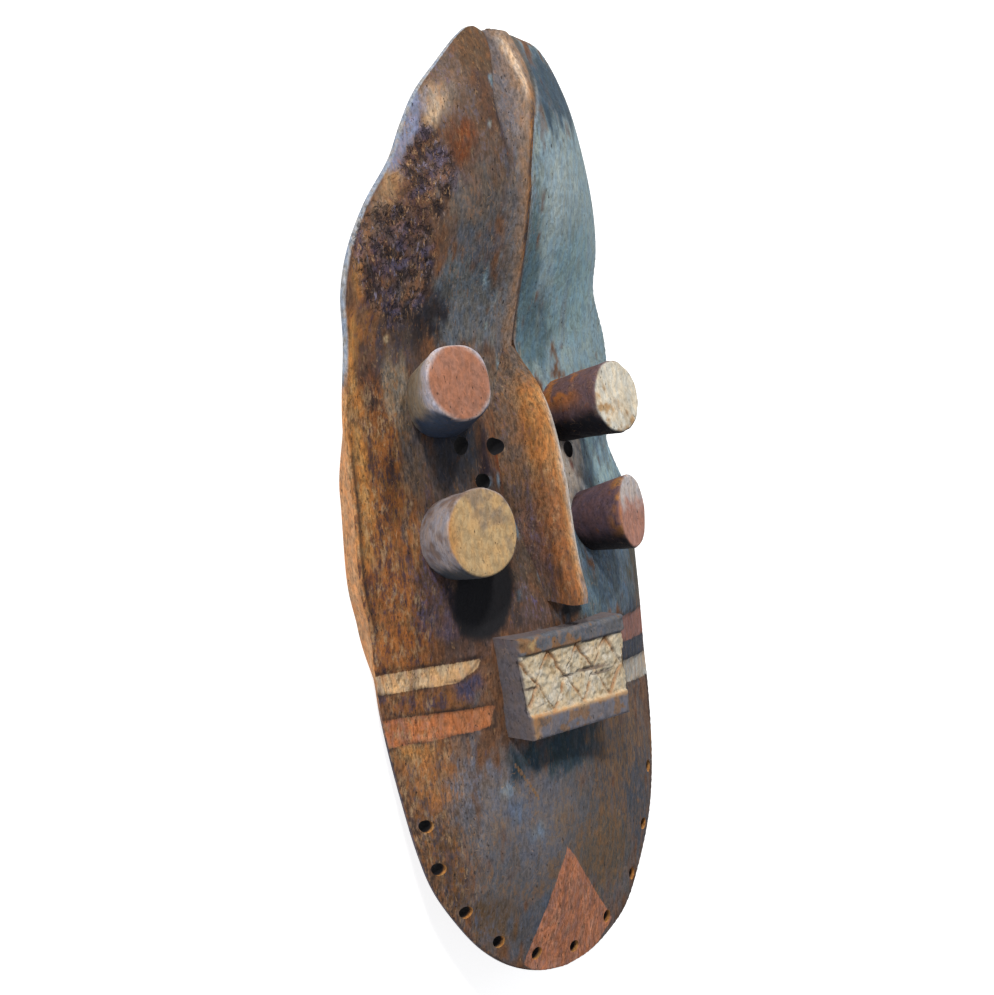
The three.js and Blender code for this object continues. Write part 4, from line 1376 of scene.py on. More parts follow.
    def _shadows(self, coat: Coat, x: Array, y: Array) -> None:
        """Painted shadows under the left tubes and the nose, painted shade on the brow, and painted shade
        along the bands' edges.

        Args:
            coat: The coat to paint on.
            x: The points across the face, in millimetres.
            y: The points up the face, in millimetres.
        """
        # Painted shadows under the lower left tube, the upper left tube and the nose's tip, and painted shade
        # on the brow's downward slope.
        lower_tube_shadow = 1 - ease(0.8, 1.0, np.hypot((x + 59 - (y + 46) * 0.25) / 25, (y + 44) / 40))
        upper_tube_shadow = 1 - ease(0.6, 1.0, np.hypot((x + 60) / (31 - (66 - y) * 0.35), (y - 60) / 36))
        nose_shadow = 1 - ease(0.7, 1.0, np.hypot((x - 14) / 14, (y + 68) / 6))
        brow = 0.35 * (1 - ease(0.5, 1.1, np.hypot((x + 88) / 18, (y - 140) / 17)))
        coat.darken(np.maximum.reduce([lower_tube_shadow, 0.45 * upper_tube_shadow, nose_shadow, brow]))
        # Painted shade: a dark line along both edges of each band.
        for band in BANDS:
            near = band.distance(x, y)
            coat.darken(0.7 * np.exp(-((near / 1.2) ** 2)) * (y > -160))

    def _edges(self, coat: Coat, x: Array, y: Array) -> None:
        """The left edge: a painted shadow line for a groove and a bare lip along the flange, and a pale line
        above it that is partly paint and partly a painted highlight.

        Args:
            coat: The coat to paint on.
            x: The points across the face, in millimetres.
            y: The points up the face, in millimetres.
        """
        margin = (1 - self.surface.outline.share(x, y)) * 138
        along = ease(-80, -60, y) * (1 - ease(96, 116, y)) * (x < 0)
        # Painted shadow: a dark line along the groove beside the flange.
        groove = np.exp(-(((margin - 3.2) / 1.1) ** 2)) * along * (1 - ease(55, 70, y))
        coat.darken(0.85 * groove)
        lip = 1 - ease(1.2, 2.6, margin)
        coat.lay("D09C68", None, lip * along)
        # Pale grey blue along the upper left edge, partly paint and partly a painted highlight on the lit
        # rim.
        coat.lay("A6AEB8", "8C929C", lip * ease(100, 120, y) * (x < 0))
        worn = (1 - ease(2, 9, margin)) * (1 - ease(-150, -110, y)) * ease(0, 60, np.abs(x))
        coat.lay("3A3030", "8A6238", 0.6 * worn)

    def rim(self, places: Array) -> Coat:
        """The rim: dark and blue-grey, with light bare wood along the left flange and pale grey blue above,
        partly paint and partly a painted highlight.

        Args:
            places: The points to work on, in millimetres.

        Returns:
            The coat at each point.
        """
        y = places[:, 1]
        coat = blended(places, ("5C5560", "7C6A58", 0.45), (), 62)
        flange = ease(-150, -90, y) * (1 - ease(96, 112, y)) * (places[:, 0] < 0)
        coat.a[:] = lerp(coat.a, pigment("D8A270"), flange[:, None])
        coat.b[:] = lerp(coat.b, pigment("B07A50"), flange[:, None])
        # Pale grey blue on the upper rim, partly paint and partly a painted highlight on its lit side.
        upper = ease(98, 116, y)
        coat.a[:] = lerp(coat.a, pigment("9CA6B2"), upper[:, None])
        coat.b[:] = lerp(coat.b, pigment("8C9098"), upper[:, None])
        return coat

    def nose(self, places: Array) -> Coat:
        """The nose: orange wood along its crown, grey brown on its flank, and a painted highlight along its
        right edge.

        Args:
            places: The points to work on, in millimetres.

        Returns:
            The coat at each point.
        """
        x, y, z = places.T
        coat = blended(places, ("6E5848", "544648", 0.44), NOSE_PAINT, 63)
        below = SmoothCurve(NOSE_TOP)(y) - z + 2.5 * noise(places, (9, 30, 9), 69, 2)
        band = (1 - ease(6, 19, below)) * (1 - ease(86, 108, y))
        low = 1 - ease(-20, 60, y)
        coat.lay("B07A44", "7C5034", band * (1 - low))
        coat.lay("A26C42", "664632", band * low)
        near = band * ease(-4, 4, x)
        coat.lay("D09A5C", "A8703C", near * 0.9)
        coat.lay("B09A88", "8C7C7A", near * ease(-2, 3, x) * (1 - ease(-46, -32, y)))
        # Painted highlight: a pale band near the nose's right edge.
        highlight_band = (1 - ease(5, 10, below)) * (1 - ease(80, 96, y)) * ease(-44, -30, y)
        coat.lay("CCAE90", "B08C68", highlight_band * ease(0, 4, x) * 0.8)
        # Painted highlight: a near white line along the right edge itself.
        edge = highlight_band * ease(4, 7.5, x)
        coat.lay("E6E2DC", "D6CCC0", edge)
        coat.wear[:] = lerp(0.35, 0.1, edge)
        coat.fibre[:] = lerp(0.9, 0.15, edge)
        return coat

    def mouth_block(self, places: Array) -> Coat:
        """The mouth: mottled slate lips, and cream teeth between ochre grooves and grey slits, with a painted
        highlight along the lower lip's top edge and painted shade under the upper lip.

        Args:
            places: The points to work on, in millimetres.

        Returns:
            The coat at each point.
        """
        x, y, z = places.T
        m = self.mouth
        across, down = m.across_down(x, y)
        coat = blended(places, ("726A6C", "5E5458", 0.45), (), 64)
        front = ease(m.front - 5.6, m.front - 4.4, z) * ease(0.0, 0.012, across)
        top, _, bottom = m.zone
        field = m.tooth_field(across, down)
        upper = front * (down < top)
        lower = front * (down > bottom)
        teeth = front * (down >= top) * (down <= bottom)
        ragged = noise(places, (5, 5, 7), 65, 3)
        patchy = noise(places, (8, 7, 8), 67, 3)
        coat.lay("6A6E76", "706664", upper)
        coat.lay("927050", "7E6656", upper * ease(0.1, 0.35, patchy + 0.8 * (0.35 - across)))
        spot = 1 - ease(0.2, 0.9, np.hypot((across - 0.1) / 0.07, (down - 6) / 6) + 0.6 * ragged)
        coat.lay("C8AA78", None, upper * spot)
        coat.lay("7A7A84", "6C666A", lower)
        coat.lay("8E7460", "5E5450", lower * ease(0.15, 0.4, patchy))
        coat.lay("A88868", "9A7450", lower * (1 - ease(0.02, 0.07, across + 0.03 * ragged)))
        coat.lay("DDCFB2", "C6B390", teeth)
        coat.lay("A8926E", "8C7A60", teeth * ease(0.25, 0.6, ragged) * 0.75)
        coat.lay("F0E8D6", None, teeth * ease(0.1, 0.5, -patchy) * 0.6)
        line = np.exp(-((field / 1.1) ** 2)) * ease(-0.35, 0.25, patchy + 0.1)
        coat.lay("A9703A", "8A5A30", teeth * line * 0.7)
        wedge = (1 - ease(2, 9, down - top)) * (1 - ease(0.5, 4, np.abs(field + 1)))
        coat.lay("B07A46", None, teeth * wedge * 0.7)
        slit = teeth * m.slits(across, down)
        coat.lay("85776A", "6C6054", slit)
        coat.lay("3A3230", "3A3230", slit * np.exp(-(((m.slits(across, down) - 0.35) / 0.2) ** 2)))
        # Painted highlight along the top edge of the lower lip.
        lip_highlight = front * np.exp(-(((down - bottom - 0.6) / 1.6) ** 2))
        coat.lay("D8B488", "C08E5C", lip_highlight * 0.9)
        # Painted shade under the upper lip's edge.
        coat.darken(front * np.exp(-(((down - top - 0.4) / 0.9) ** 2)) * ease(-0.4, 0.3, patchy) * 0.8)
        coat.wear[:] = 0.25
        coat.fibre[:] = lerp(0.15, 0.05, teeth)
        return coat

    def hole(self, places: Array) -> Coat:
        """The holes: a light wooden crescent at a chin hole's lip, and painted shade everywhere deeper, with
        the sight holes painted black throughout as shade.

        Args:
            places: The points to work on, in millimetres.

        Returns:
            The coat at each point.
        """
        x, y, z = places.T
        coat = blended(places, ("C08A4C", "8A5A30", 0.35), (), 66)
        # Painted shade: chin holes go to near black deeper than a few millimetres, and sight holes are black
        # throughout.
        deep = ease(1.5, 5.0, self.surface.face(x, y) - z)
        sight = y > -100
        coat.darken(np.where(sight, 1.0, deep))
        coat.lay("17171D", "17171D", np.where(sight, 1.0, deep))
        return coat

    def back(self, places: Array) -> Coat:
        """The hollow: plain brown wood with darker streaks, evenly darkened as painted shade."""
        coat = blended(places, ("7A5A3E", "4E3A2C", 0.45), (), 67)
        # An even painted shade over the whole hollow.
        coat.soot[:] = 0.2
        return coat

    def tube(self, places: Array) -> Coat:
        """The tubes: an end colour on each end and a side colour with a painted shade underneath.

        Args:
            places: The points to work on, in millimetres.

        Returns:
            The coat at each point.
        """
        pick = np.argmin([tube.reach(places) for tube in TUBES], axis=0)
        coat = blended(places, MATTE, (), 68)
        for k, tube in enumerate(TUBES):
            chosen = pick == k
            if chosen.any():
                tube.paint(coat, places, chosen)
        return coat


class Nodes:
    """Short ways to add and join the nodes of one tree."""

    def __init__(self, tree: bpy.types.NodeTree) -> None:
        """Takes the tree to work on."""
        self.tree = tree

    def add(self, kind: str, values: dict | None = None, **settings: object) -> bpy.types.Node:
        """Adds a node. Values set its sockets, or link them when they are sockets themselves.

        Args:
            kind: The node's type.
            values: Socket values or sockets to link, by name or number.
            settings: Other properties of the node.

        Returns:
            The node.
        """
        node = self.tree.nodes.new(kind)
        for name, value in settings.items():
            setattr(node, name, value)
        for name, value in (values or {}).items():
            if isinstance(value, bpy.types.NodeSocket):
                self.tree.links.new(value, node.inputs[name])
            else:
                node.inputs[name].default_value = value
        return node

    def math(self, operation: str, *values: object, clamp: bool = False) -> bpy.types.NodeSocket:
        """The result of one arithmetic step."""
        node = self.add("ShaderNodeMath", dict(enumerate(values)), operation=operation)
        node.use_clamp = clamp
        return node.outputs[0]

    def ramp(self, value: object, low: float, high: float, start: float = 0.0,
             end: float = 1.0) -> bpy.types.NodeSocket:
        """A smooth step of the value from low to high, put out from start to end."""
        node = self.add(
            "ShaderNodeMapRange",
            {0: value, 1: low, 2: high, 3: start, 4: end}, interpolation_type="SMOOTHSTEP",
        )
        return node.outputs[0]

    def mix(self, a: object, b: object, share: object, blend: str = "MIX") -> bpy.types.NodeSocket:
        """Two colours mixed."""
        node = self.add("ShaderNodeMix", {0: share, 6: a, 7: b}, data_type="RGBA", blend_type=blend)
        return node.outputs[2]

    def total(self, *terms: tuple[object, float]) -> bpy.types.NodeSocket:
        """The sum of each value times its weight."""
        result: object = 0.0
        for value, weight in terms:
            result = self.add("ShaderNodeMath", {0: value, 1: weight, 2: result},
                              operation="MULTIPLY_ADD").outputs[0]
        return result

    def shade(self, colour: object, value: object, reach: tuple[float, float],
              light: tuple[float, float], share: object) -> bpy.types.NodeSocket:
        """A colour darkened and lightened by a value.

        Args:
            colour: The colour to change.
            value: What it follows.
            reach: The value's low and high end.
            light: What the colour is multiplied by at each end.
            share: How strongly, from 0 to 1.

        Returns:
            The changed colour.
        """
        level = self.ramp(value, *reach, *light)
        grey = self.add("ShaderNodeCombineColor", {0: level, 1: level, 2: level}).outputs[0]
        return self.mix(colour, grey, share, "MULTIPLY")

    def noise(self, vector: object, scale: float, detail: float = 4, roughness: float = 0.6,
              distortion: float = 0.0) -> bpy.types.NodeSocket:
        """A noise value from 0 to 1."""
        node = self.add("ShaderNodeTexNoise", {
            "Vector": vector, "Scale": scale, "Detail": detail, "Roughness": roughness,
            "Distortion": distortion,
        })
        return node.outputs[0]

    def stretched(self, vector: object, size: Sequence[object]) -> bpy.types.NodeSocket:
        """A vector in metres divided by a size in millimetres along each axis."""
        node = self.add("ShaderNodeVectorMath", {0: vector}, operation="MULTIPLY")
        node.inputs[1].default_value = [1 / (MM * s) for s in size]
        return node.outputs[0]


def socket(group: bpy.types.NodeTree, name: str, kind: str, out: bool = False,
           value: float | None = None) -> None:
    """Adds a socket to a node group's interface."""
    item = group.interface.new_socket(
        name=name, in_out="OUTPUT" if out else "INPUT", socket_type="NodeSocket" + kind
    )
    if value is not None:
        item.default_value = value


FIBRE_VALUES = ("Broad", "Fine", "Dab", "Scratch", "Pit", "Cloud", "Tint", "Fleck")
COAT_VALUES = ("Share B", "Wear", "Soot", "Mark Edge", "Fibre", "Rough")


def fibre_group() -> bpy.types.NodeTree:
    """Builds the shared wood fibre: streaks along Y in several widths, dabs, pits and scratches.

    Returns:
        The node group.
    """
    group = bpy.data.node_groups.new("wood_fibre", "ShaderNodeTree")
    socket(group, "Place", "Vector")
    for name in FIBRE_VALUES:
        socket(group, name, "Float", out=True)
    nodes = Nodes(group)
    place = nodes.add("NodeGroupInput").outputs[0]
    bend = nodes.add("ShaderNodeTexNoise", {"Vector": place, "Scale": 14.0, "Detail": 2.0})
    shift = nodes.add("ShaderNodeVectorMath", {0: bend.outputs["Color"], 1: (0.5, 0.5, 0.5)},
                      operation="SUBTRACT").outputs[0]
    scaled = nodes.add("ShaderNodeVectorMath", {0: shift}, operation="SCALE")
    scaled.inputs["Scale"].default_value = 0.010
    bent = nodes.add("ShaderNodeVectorMath", {0: place, 1: scaled.outputs[0]}).outputs[0]

    def layer(size: tuple[float, float, float], detail: float, roughness: float,
              distortion: float = 0.0) -> bpy.types.NodeSocket:
        """A noise whose grains have the given size in millimetres."""
        return nodes.noise(nodes.stretched(bent, size), 1.0, detail, roughness, distortion)

    broad = layer((5.0, 26, 7), 5, 0.66)
    fine = layer((1.5, 6.0, 2.2), 3, 0.68)
    dab = layer((3.6, 5.0, 4), 4, 0.66, 0.8)
    ridge = nodes.math("ABSOLUTE", nodes.math("SUBTRACT", layer((4.5, 26, 6), 2, 0.5, 0.6), 0.5))
    gate = nodes.ramp(layer((11, 22, 11), 2, 0.6), 0.50, 0.62)
    scratch = nodes.math("MULTIPLY", nodes.ramp(ridge, 0.0, 0.016, 1.0, 0.0), gate)
    pit = nodes.ramp(layer((1.5, 5, 2), 2, 0.5), 0.31, 0.25)
    cloud = layer((18, 26, 18), 5, 0.62)
    tint = layer((4.5, 12, 6), 4, 0.62)
    fleck = layer((1.9, 6.5, 2.6), 4, 0.68)
    end = nodes.add("NodeGroupOutput")
    for k, value in enumerate((broad, fine, dab, scratch, pit, cloud, tint, fleck)):
        group.links.new(value, end.inputs[k])
    return group


def coat_group() -> bpy.types.NodeTree:
    """Builds the shared paint: two colours in streaks, crisp marks, wear, chips and painted shade.

    Returns:
        The node group.
    """
    group = bpy.data.node_groups.new("worn_coat", "ShaderNodeTree")
    for name in ("Paint A", "Paint B", "Bare", "Mark"):
        socket(group, name, "Color")
    for name in (*COAT_VALUES, *FIBRE_VALUES):
        socket(group, name, "Float")
    socket(group, "Color", "Color", out=True)
    socket(group, "Roughness", "Float", out=True)
    socket(group, "Height", "Float", out=True)
    nodes = Nodes(group)
    given = nodes.add("NodeGroupInput").outputs
    grained = nodes.total((given["Broad"], 0.45), (given["Fine"], 0.35), (given["Dab"], 0.2))
    smooth = nodes.total((given["Cloud"], 0.5), (given["Dab"], 0.35), (given["Fine"], 0.15))
    held = nodes.total((given["Fibre"], 1.2), (1.0, -0.1))
    mixed = nodes.math("ADD", smooth, nodes.math("MULTIPLY", nodes.math("SUBTRACT", grained, smooth),
                                                 held))
    share = nodes.ramp(nodes.total((mixed, 1), (given["Share B"], 1), (1.0, -0.5)), 0.45, 0.55)
    colour = nodes.mix(given["Paint A"], given["Paint B"], share)
    ragged = nodes.total((given["Mark Edge"], 1), (given["Cloud"], 3), (given["Fine"], 2),
                         (1.0, -2.5))
    dark_mark = nodes.mix(given["Mark"], (0.10, 0.055, 0.055, 1), 0.55)
    mark = nodes.mix(given["Mark"], dark_mark, nodes.ramp(mixed, 0.48, 0.58))
    colour = nodes.mix(colour, mark, nodes.ramp(ragged, -0.3, 0.5))
    tint = nodes.mix((1.22, 0.98, 0.74, 1), (0.86, 0.97, 1.18, 1),
                     nodes.ramp(given["Tint"], 0.38, 0.62))
    colour = nodes.mix(colour, tint, nodes.total((given["Fibre"], 0.4), (1.0, 0.3)), "MULTIPLY")
    streaks = nodes.math("MULTIPLY", given["Fibre"], 1.0, clamp=True)
    colour = nodes.shade(colour, given["Fine"], (0.32, 0.68), (0.50, 1.55), streaks)
    colour = nodes.shade(colour, given["Dab"], (0.34, 0.66), (0.80, 1.20), 1.0)
    colour = nodes.shade(colour, given["Cloud"], (0.30, 0.70), (0.86, 1.12), 1.0)
    worn = nodes.total((given["Wear"], 0.22), (given["Fleck"], 1))
    bare = nodes.math("MULTIPLY", nodes.ramp(worn, 0.61, 0.74), nodes.ramp(given["Cloud"], 0.4, 0.6))
    bare = nodes.math("MULTIPLY", bare, nodes.total((given["Fibre"], 0.9), (1.0, -0.08)), clamp=True)
    lit_wood = nodes.mix(given["Bare"], (0.36, 0.24, 0.13, 1), nodes.ramp(given["Tint"], 0.45, 0.6))
    colour = nodes.mix(colour, lit_wood, nodes.math("MULTIPLY", bare, 0.7))
    shade = nodes.ramp(given["Fleck"], 0.45, 0.32, 0.0, 0.9)
    colour = nodes.mix(colour, (0.022, 0.015, 0.018, 1), nodes.math("MULTIPLY", shade, given["Wear"]))
    chip = nodes.math("MULTIPLY", nodes.ramp(given["Dab"], 0.49, 0.38), given["Rough"])
    crumb = nodes.math("MULTIPLY", nodes.ramp(given["Fleck"], 0.54, 0.64), given["Rough"])
    colour = nodes.mix(colour, (0.020, 0.013, 0.016, 1), nodes.math("MULTIPLY", chip, 0.75))
    crumb_colour = nodes.mix((0.36, 0.22, 0.12, 1), (0.20, 0.18, 0.26, 1),
                             nodes.ramp(given["Tint"], 0.48, 0.56))
    colour = nodes.mix(colour, crumb_colour, nodes.math("MULTIPLY", crumb, 0.75))
    scratch = nodes.math("MULTIPLY", given["Scratch"], nodes.total((given["Wear"], 1), (1.0, 0.2)),
                         clamp=True)
    light_wood = nodes.mix(given["Bare"], (0.40, 0.27, 0.15, 1), 0.6)
    colour = nodes.mix(colour, light_wood, nodes.math("MULTIPLY", scratch, 0.7))
    colour = nodes.mix(colour, (0.012, 0.010, 0.012, 1), nodes.math("MULTIPLY", given["Pit"], 0.8))
    # Painted shade: the colour goes towards near black by the painted shade amount.
    painted_shade_share = nodes.math("MULTIPLY", given["Soot"], nodes.ramp(given["Cloud"], 0.2, 0.6, 0.94, 1.0))
    colour = nodes.mix(colour, (0.006, 0.006, 0.008, 1), painted_shade_share)
    rough = nodes.total((given["Fine"], 0.28), (1.0, 0.66))
    fibre_height = nodes.math("MULTIPLY", given["Fine"], given["Fibre"])
    height = nodes.total((fibre_height, 0.5), (given["Broad"], 0.45), (given["Dab"], 0.4),
                         (given["Pit"], -0.5), (scratch, -0.3), (bare, -0.12), (chip, -0.7),
                         (crumb, 0.5))
    end = nodes.add("NodeGroupOutput")
    for k, value in enumerate((colour, rough, height)):
        group.links.new(value, end.inputs[k])
    return group


@dataclass(frozen=True)
class Finish:
    """How one form is finished: its bare wood and how deep its grain is."""

    form: Form
    bare: str
    grain_mm: float

    def material(self, fibre: bpy.types.NodeTree, coat: bpy.types.NodeTree) -> bpy.types.Material:
        """The finished material. Its paint comes from the mesh's own attributes.

        Args:
            fibre: The shared wood fibre group.
            coat: The shared paint group.

        Returns:
            The material.
        """
        material = bpy.data.materials.new("painted_wood_" + self.form.name.lower())
        material.use_nodes = True
        nodes = Nodes(material.node_tree)
        material.node_tree.nodes.clear()
        place = nodes.add("ShaderNodeTexCoord").outputs["Object"]
        wood = nodes.add("ShaderNodeGroup", node_tree=fibre)
        material.node_tree.links.new(place, wood.inputs["Place"])

        def attribute(name: str) -> bpy.types.Node:
            """The node that reads one of the mesh's own attributes."""
            return nodes.add("ShaderNodeAttribute", attribute_name=name)

        state, detail = (
            nodes.add("ShaderNodeSeparateColor", {0: attribute(name).outputs["Color"]}).outputs
            for name in ("state", "detail")
        )
        values = {
            "Paint A": attribute("paint_a").outputs["Color"],
            "Paint B": attribute("paint_b").outputs["Color"],
            "Mark": attribute("mark").outputs["Color"],
            "Share B": state[0], "Wear": state[1], "Soot": state[2],
            "Mark Edge": detail[0], "Fibre": detail[1], "Rough": detail[2],
            "Bare": (*pigment(self.bare), 1),
        }
        values |= {name: wood.outputs[name] for name in FIBRE_VALUES}
        painted = nodes.add("ShaderNodeGroup", node_tree=coat)
        for name, value in values.items():
            if isinstance(value, bpy.types.NodeSocket):
                material.node_tree.links.new(value, painted.inputs[name])
            else:
                painted.inputs[name].default_value = value
        bump = nodes.add("ShaderNodeBump", {
            "Height": painted.outputs["Height"], "Distance": self.grain_mm * MM, "Strength": 1.0,
        })
        shader = nodes.add("ShaderNodeBsdfPrincipled", {
            "Base Color": painted.outputs["Color"], "Roughness": painted.outputs["Roughness"],
            "Normal": bump.outputs[0], "Specular IOR Level": DRY_SPECULAR,
        })
        nodes.add("ShaderNodeOutputMaterial", {"Surface": shader.outputs[0]})
        return material


FINISHES = (
    Finish(Form.FACE, "AC6E38", grain_mm=1.6),
    Finish(Form.RIM, "A0703F", grain_mm=1.2),
    Finish(Form.NOSE, "B47A42", grain_mm=1.5),
    Finish(Form.MOUTH, "A97C4C", grain_mm=1.3),
    Finish(Form.HOLE, "B07A40", grain_mm=0.5),
    Finish(Form.BACK, "7D5D3E", grain_mm=1.0),
    Finish(Form.TUBE, "A3683C", grain_mm=1.3),
)


@dataclass
class Mask:
    """The whole carving, as one piece."""

    surface: Surface
    mouth: Mouth
    name: str = "carved_mask"
    sharp_degrees: float = 60

    def object_from(self, name: str, sheets: Sequence[Sheet]) -> bpy.types.Object:
        """A mesh object in metres, in the row frame, with its form on each face.

        Args:
            name: The new object's or lamp's name.
            sheets: The sheets to join.

        Returns:
            The new object.
        """
        sheet = Sheet.joined(sheets)
        mesh = bpy.data.meshes.new(name)
        shift = (*self.surface.outline.centre, 0)
        mesh.from_pydata(((sheet.points - shift) * MM).tolist(), [], sheet.faces.tolist())
        form = mesh.attributes.new("form", "INT", "FACE")
        form.data.foreach_set("value", sheet.form.astype(np.int32))
        made = bpy.data.objects.new(name, mesh)
        bpy.context.scene.collection.objects.link(made)
        return made

    def build(self) -> bpy.types.Object:
        """Joins the added forms, cuts the hollow and the holes, paints and shades the result.

        Returns:
            The finished object.
        """
        shell = Shell(self.surface)
        body = self.object_from("body", [shell.body()])
        added = [Nose(self.surface).sheet(), self.mouth.sheet(), *(t.sheet() for t in TUBES)]
        cut = [shell.cavity(), notch_sheet()]
        for places, diameter in ((SIGHT_HOLES, SIGHT_HOLE_DIAMETER), (CHIN_HOLES, CHIN_HOLE_DIAMETER)):
            for x, y in places:
                top = float(self.surface.face(np.array([float(x)]), np.array([float(y)]))[0])
                cut.append(hole_sheet((x, y), diameter, top))
        tools = [("UNION", sheet) for sheet in added] + [("DIFFERENCE", sheet) for sheet in cut]
        helpers = []
        for k, (operation, sheet) in enumerate(tools):
            helper = self.object_from(f"tool_{k}", [sheet])
            helpers.append(helper)
            step = body.modifiers.new(helper.name, "BOOLEAN")
            step.operation, step.solver, step.object = operation, "MANIFOLD", helper
        graph = bpy.context.evaluated_depsgraph_get()
        mesh = bpy.data.meshes.new_from_object(body.evaluated_get(graph))
        for helper in (body, *helpers):
            bpy.data.objects.remove(helper)
        mesh.name = self.name
        mesh.shade_smooth()
        mesh.set_sharp_from_angle(angle=math.radians(self.sharp_degrees))
        self.paint(mesh)
        piece = bpy.data.objects.new(self.name, mesh)
        bpy.context.scene.collection.objects.link(piece)
        return piece

    def paint(self, mesh: bpy.types.Mesh) -> None:
        """Puts the coat on each corner of the mesh, and a material on each form.

        Args:
            mesh: The mesh to paint.
        """
        fibre, coat_tree = fibre_group(), coat_group()
        mesh.materials.clear()
        order = {}
        for finish in FINISHES:
            order[int(finish.form)] = len(mesh.materials)
            mesh.materials.append(finish.material(fibre, coat_tree))
        form = np.zeros(len(mesh.polygons), np.int32)
        mesh.attributes["form"].data.foreach_get("value", form)
        mesh.polygons.foreach_set("material_index", np.array([order[f] for f in range(7)])[form])
        points = np.zeros(len(mesh.vertices) * 3)
        mesh.vertices.foreach_get("co", points)
        points = points.reshape(-1, 3) / MM + (*self.surface.outline.centre, 0)
        corner = np.zeros(len(mesh.loops), np.int32)
        mesh.loops.foreach_get("vertex_index", corner)
        counts = np.zeros(len(mesh.polygons), np.int32)
        mesh.polygons.foreach_get("loop_total", counts)
        corner_form = np.repeat(form, counts)
        painter = Painter(self.surface, self.mouth)
        a, b, state, mark, detail = (np.ones((len(corner), 4)) for _ in range(5))
        for kind in Form:
            here = corner_form == kind
            used, where = np.unique(corner[here], return_inverse=True)
            if not len(used):
                continue
            coat = painter.coat(kind, points[used])
            a[here, :3], b[here, :3] = coat.a[where], coat.b[where]
            mark[here, :3] = coat.mark[where]
            state[here, :3] = np.stack([coat.share_b, coat.wear, coat.soot], -1)[where]
            detail[here, :3] = np.stack([coat.mark_edge, coat.fibre, coat.rough], -1)[where]
        layers = {"paint_a": a, "paint_b": b, "state": state, "mark": mark, "detail": detail}
        for name, value in layers.items():
            layer = mesh.attributes.new(name, "FLOAT_COLOR", "CORNER")
            layer.data.foreach_set("color", value.astype(np.float32).ravel())
        mesh.update()
        LOG.info("%s: %d triangles", mesh.name, sum(counts - 2))
        LOG.info("its tubes: %s", ", ".join(tube.name for tube in TUBES))


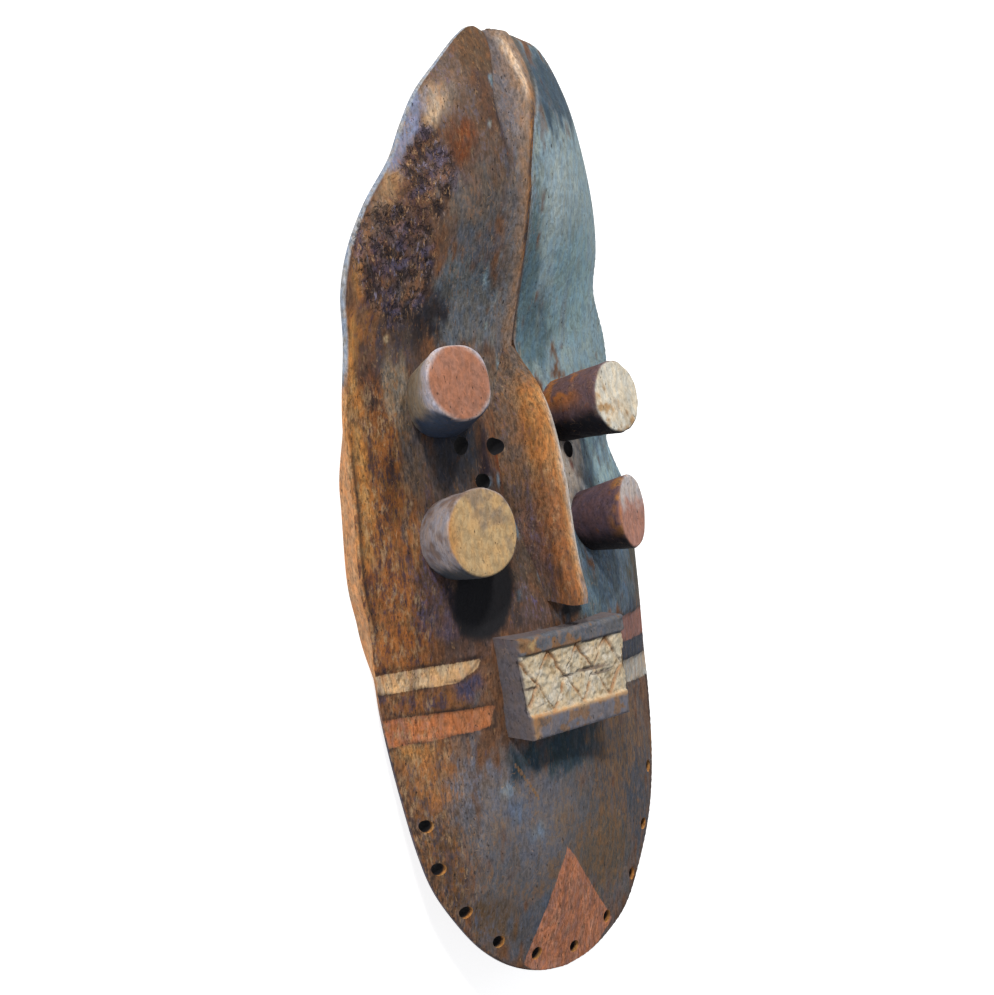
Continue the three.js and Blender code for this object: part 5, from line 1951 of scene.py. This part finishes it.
@dataclass(frozen=True)
class Studio:
    """A pale floor, soft lights and the camera."""

    centre: Array
    yaw: float = 45.0
    pitch: float = 6.0
    roll: float = 3.3
    distance: float = 1400.0
    target: tuple[float, float, float] = (-14, 15, 30)
    focal_pixels: float = 1930.0
    long_side: float = 995.0
    sensor: float = 36.0

    def axes(self) -> tuple[Array, Array, Array]:
        """The camera's right, up and backward directions from its yaw, pitch and roll.

        Returns:
            Three unit vectors.
        """
        yaw, pitch, roll = np.radians([self.yaw, self.pitch, self.roll])
        back = np.array([-math.sin(yaw) * math.cos(pitch), math.sin(pitch),
                         math.cos(yaw) * math.cos(pitch)])
        level = np.cross(-back, (0, 1, 0))
        level /= np.linalg.norm(level)
        upright = np.cross(level, -back)
        right = math.cos(roll) * level - math.sin(roll) * upright
        up = math.sin(roll) * level + math.cos(roll) * upright
        return right, up, back

    def camera(self) -> bpy.types.Object:
        """The camera, aimed at the target from the photograph's angle.

        Returns:
            The camera.
        """
        right, up, back = self.axes()
        place = (np.array(self.target) - (*self.centre, 0) + back * self.distance) * MM
        data = bpy.data.cameras.new("camera")
        data.sensor_width = self.sensor
        data.lens = self.sensor * self.focal_pixels / self.long_side
        data.clip_start, data.clip_end = 0.05, 50
        camera = bpy.data.objects.new("camera", data)
        bpy.context.scene.collection.objects.link(camera)
        turn = np.eye(4)
        turn[:3, :3] = np.stack([right, up, back], -1)
        turn[:3, 3] = place
        camera.matrix_world = Matrix(turn.tolist())
        bpy.context.scene.camera = camera
        return camera

    def light(self, name: str, towards: Sequence[float], power: float, size: float,
              colour: str, reach: float = 4.0) -> None:
        """A square soft light that looks at the middle of the mask from the given direction.

        Args:
            name: The new object's or lamp's name.
            towards: The direction from the mask to the lamp.
            power: The lamp's power in watts.
            size: The lamp's side in metres.
            colour: The lamp's colour code.
            reach: The lamp's distance in metres.
        """
        data = bpy.data.lights.new(name, "AREA")
        data.energy, data.size, data.color = power, size, linear(colour)
        lamp = bpy.data.objects.new(name, data)
        bpy.context.scene.collection.objects.link(lamp)
        back = np.array(towards, float)
        back /= np.linalg.norm(back)
        side = np.cross((0.0, 0.1, 1.0), back)
        side /= np.linalg.norm(side)
        turn = np.eye(4)
        turn[:3, :3] = np.stack([side, np.cross(back, side), back], -1)
        turn[:3, 3] = back * reach
        lamp.matrix_world = Matrix(turn.tolist())

    def floor(self) -> None:
        """A wide pale floor under the mask, with a very fine mottle."""
        half = 6.0
        mesh = bpy.data.meshes.new("studio_floor")
        mesh.from_pydata([(-half, -half, 0), (half, -half, 0), (half, half, 0), (-half, half, 0)],
                         [], [(0, 1, 2, 3)])
        material = bpy.data.materials.new("studio_floor")
        material.use_nodes = True
        nodes = Nodes(material.node_tree)
        material.node_tree.nodes.clear()
        place = nodes.add("ShaderNodeTexCoord").outputs["Object"]
        mottle = nodes.ramp(nodes.noise(place, 30.0), 0.3, 0.7, 0.50, 0.52)
        colour = nodes.add("ShaderNodeCombineColor", {0: mottle, 1: mottle, 2: mottle})
        shader = nodes.add("ShaderNodeBsdfPrincipled", {
            "Base Color": colour.outputs[0], "Roughness": 0.9, "Specular IOR Level": 0.1,
            "Emission Color": (1, 1, 1, 1), "Emission Strength": 0.80})
        nodes.add("ShaderNodeOutputMaterial", {"Surface": shader.outputs[0]})
        mesh.materials.append(material)
        made = bpy.data.objects.new("studio_floor", mesh)
        bpy.context.scene.collection.objects.link(made)

    def build(self) -> None:
        """Sets up the floor, the lights, the world and the camera."""
        self.floor()
        self.light("key_left", (-0.55, 0.80, 0.60), 112, 0.36, "FFFAF4")
        self.light("key_right", (-0.05, 0.85, 0.62), 105, 0.36, "FFFAF4")
        self.light("rim_right", (0.8, 0.35, 0.75), 30, 2.6, "F4F8FF")
        self.light("fill_left", (-0.9, -0.5, 0.6), 36, 3.0, "E4ECFF")
        world = bpy.data.worlds.new("studio")
        world.use_nodes = True
        world.node_tree.nodes["Background"].inputs[0].default_value = (1, 1, 1, 1)
        world.node_tree.nodes["Background"].inputs[1].default_value = 0.28
        bpy.context.scene.world = world
        bpy.context.scene.view_settings.view_transform = "Standard"
        self.camera()


def corners(box: Sequence[Sequence[float]]) -> list[list[float]]:
    """A box as plain lists of numbers."""
    return [[float(value) for value in corner] for corner in box]


def main() -> None:
    """Builds the mask, the studio and the camera."""
    logging.basicConfig(level=logging.INFO, format="%(name)s: %(message)s")
    outline = Outline()
    surface = Surface(outline, Rim())
    piece = Mask(surface, Mouth()).build()
    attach(piece, "root")
    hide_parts("mask")
    LOG.info("%s rides on root", piece.name)
    Studio(outline.centre).build()


if __name__ == "__main__":
    main()
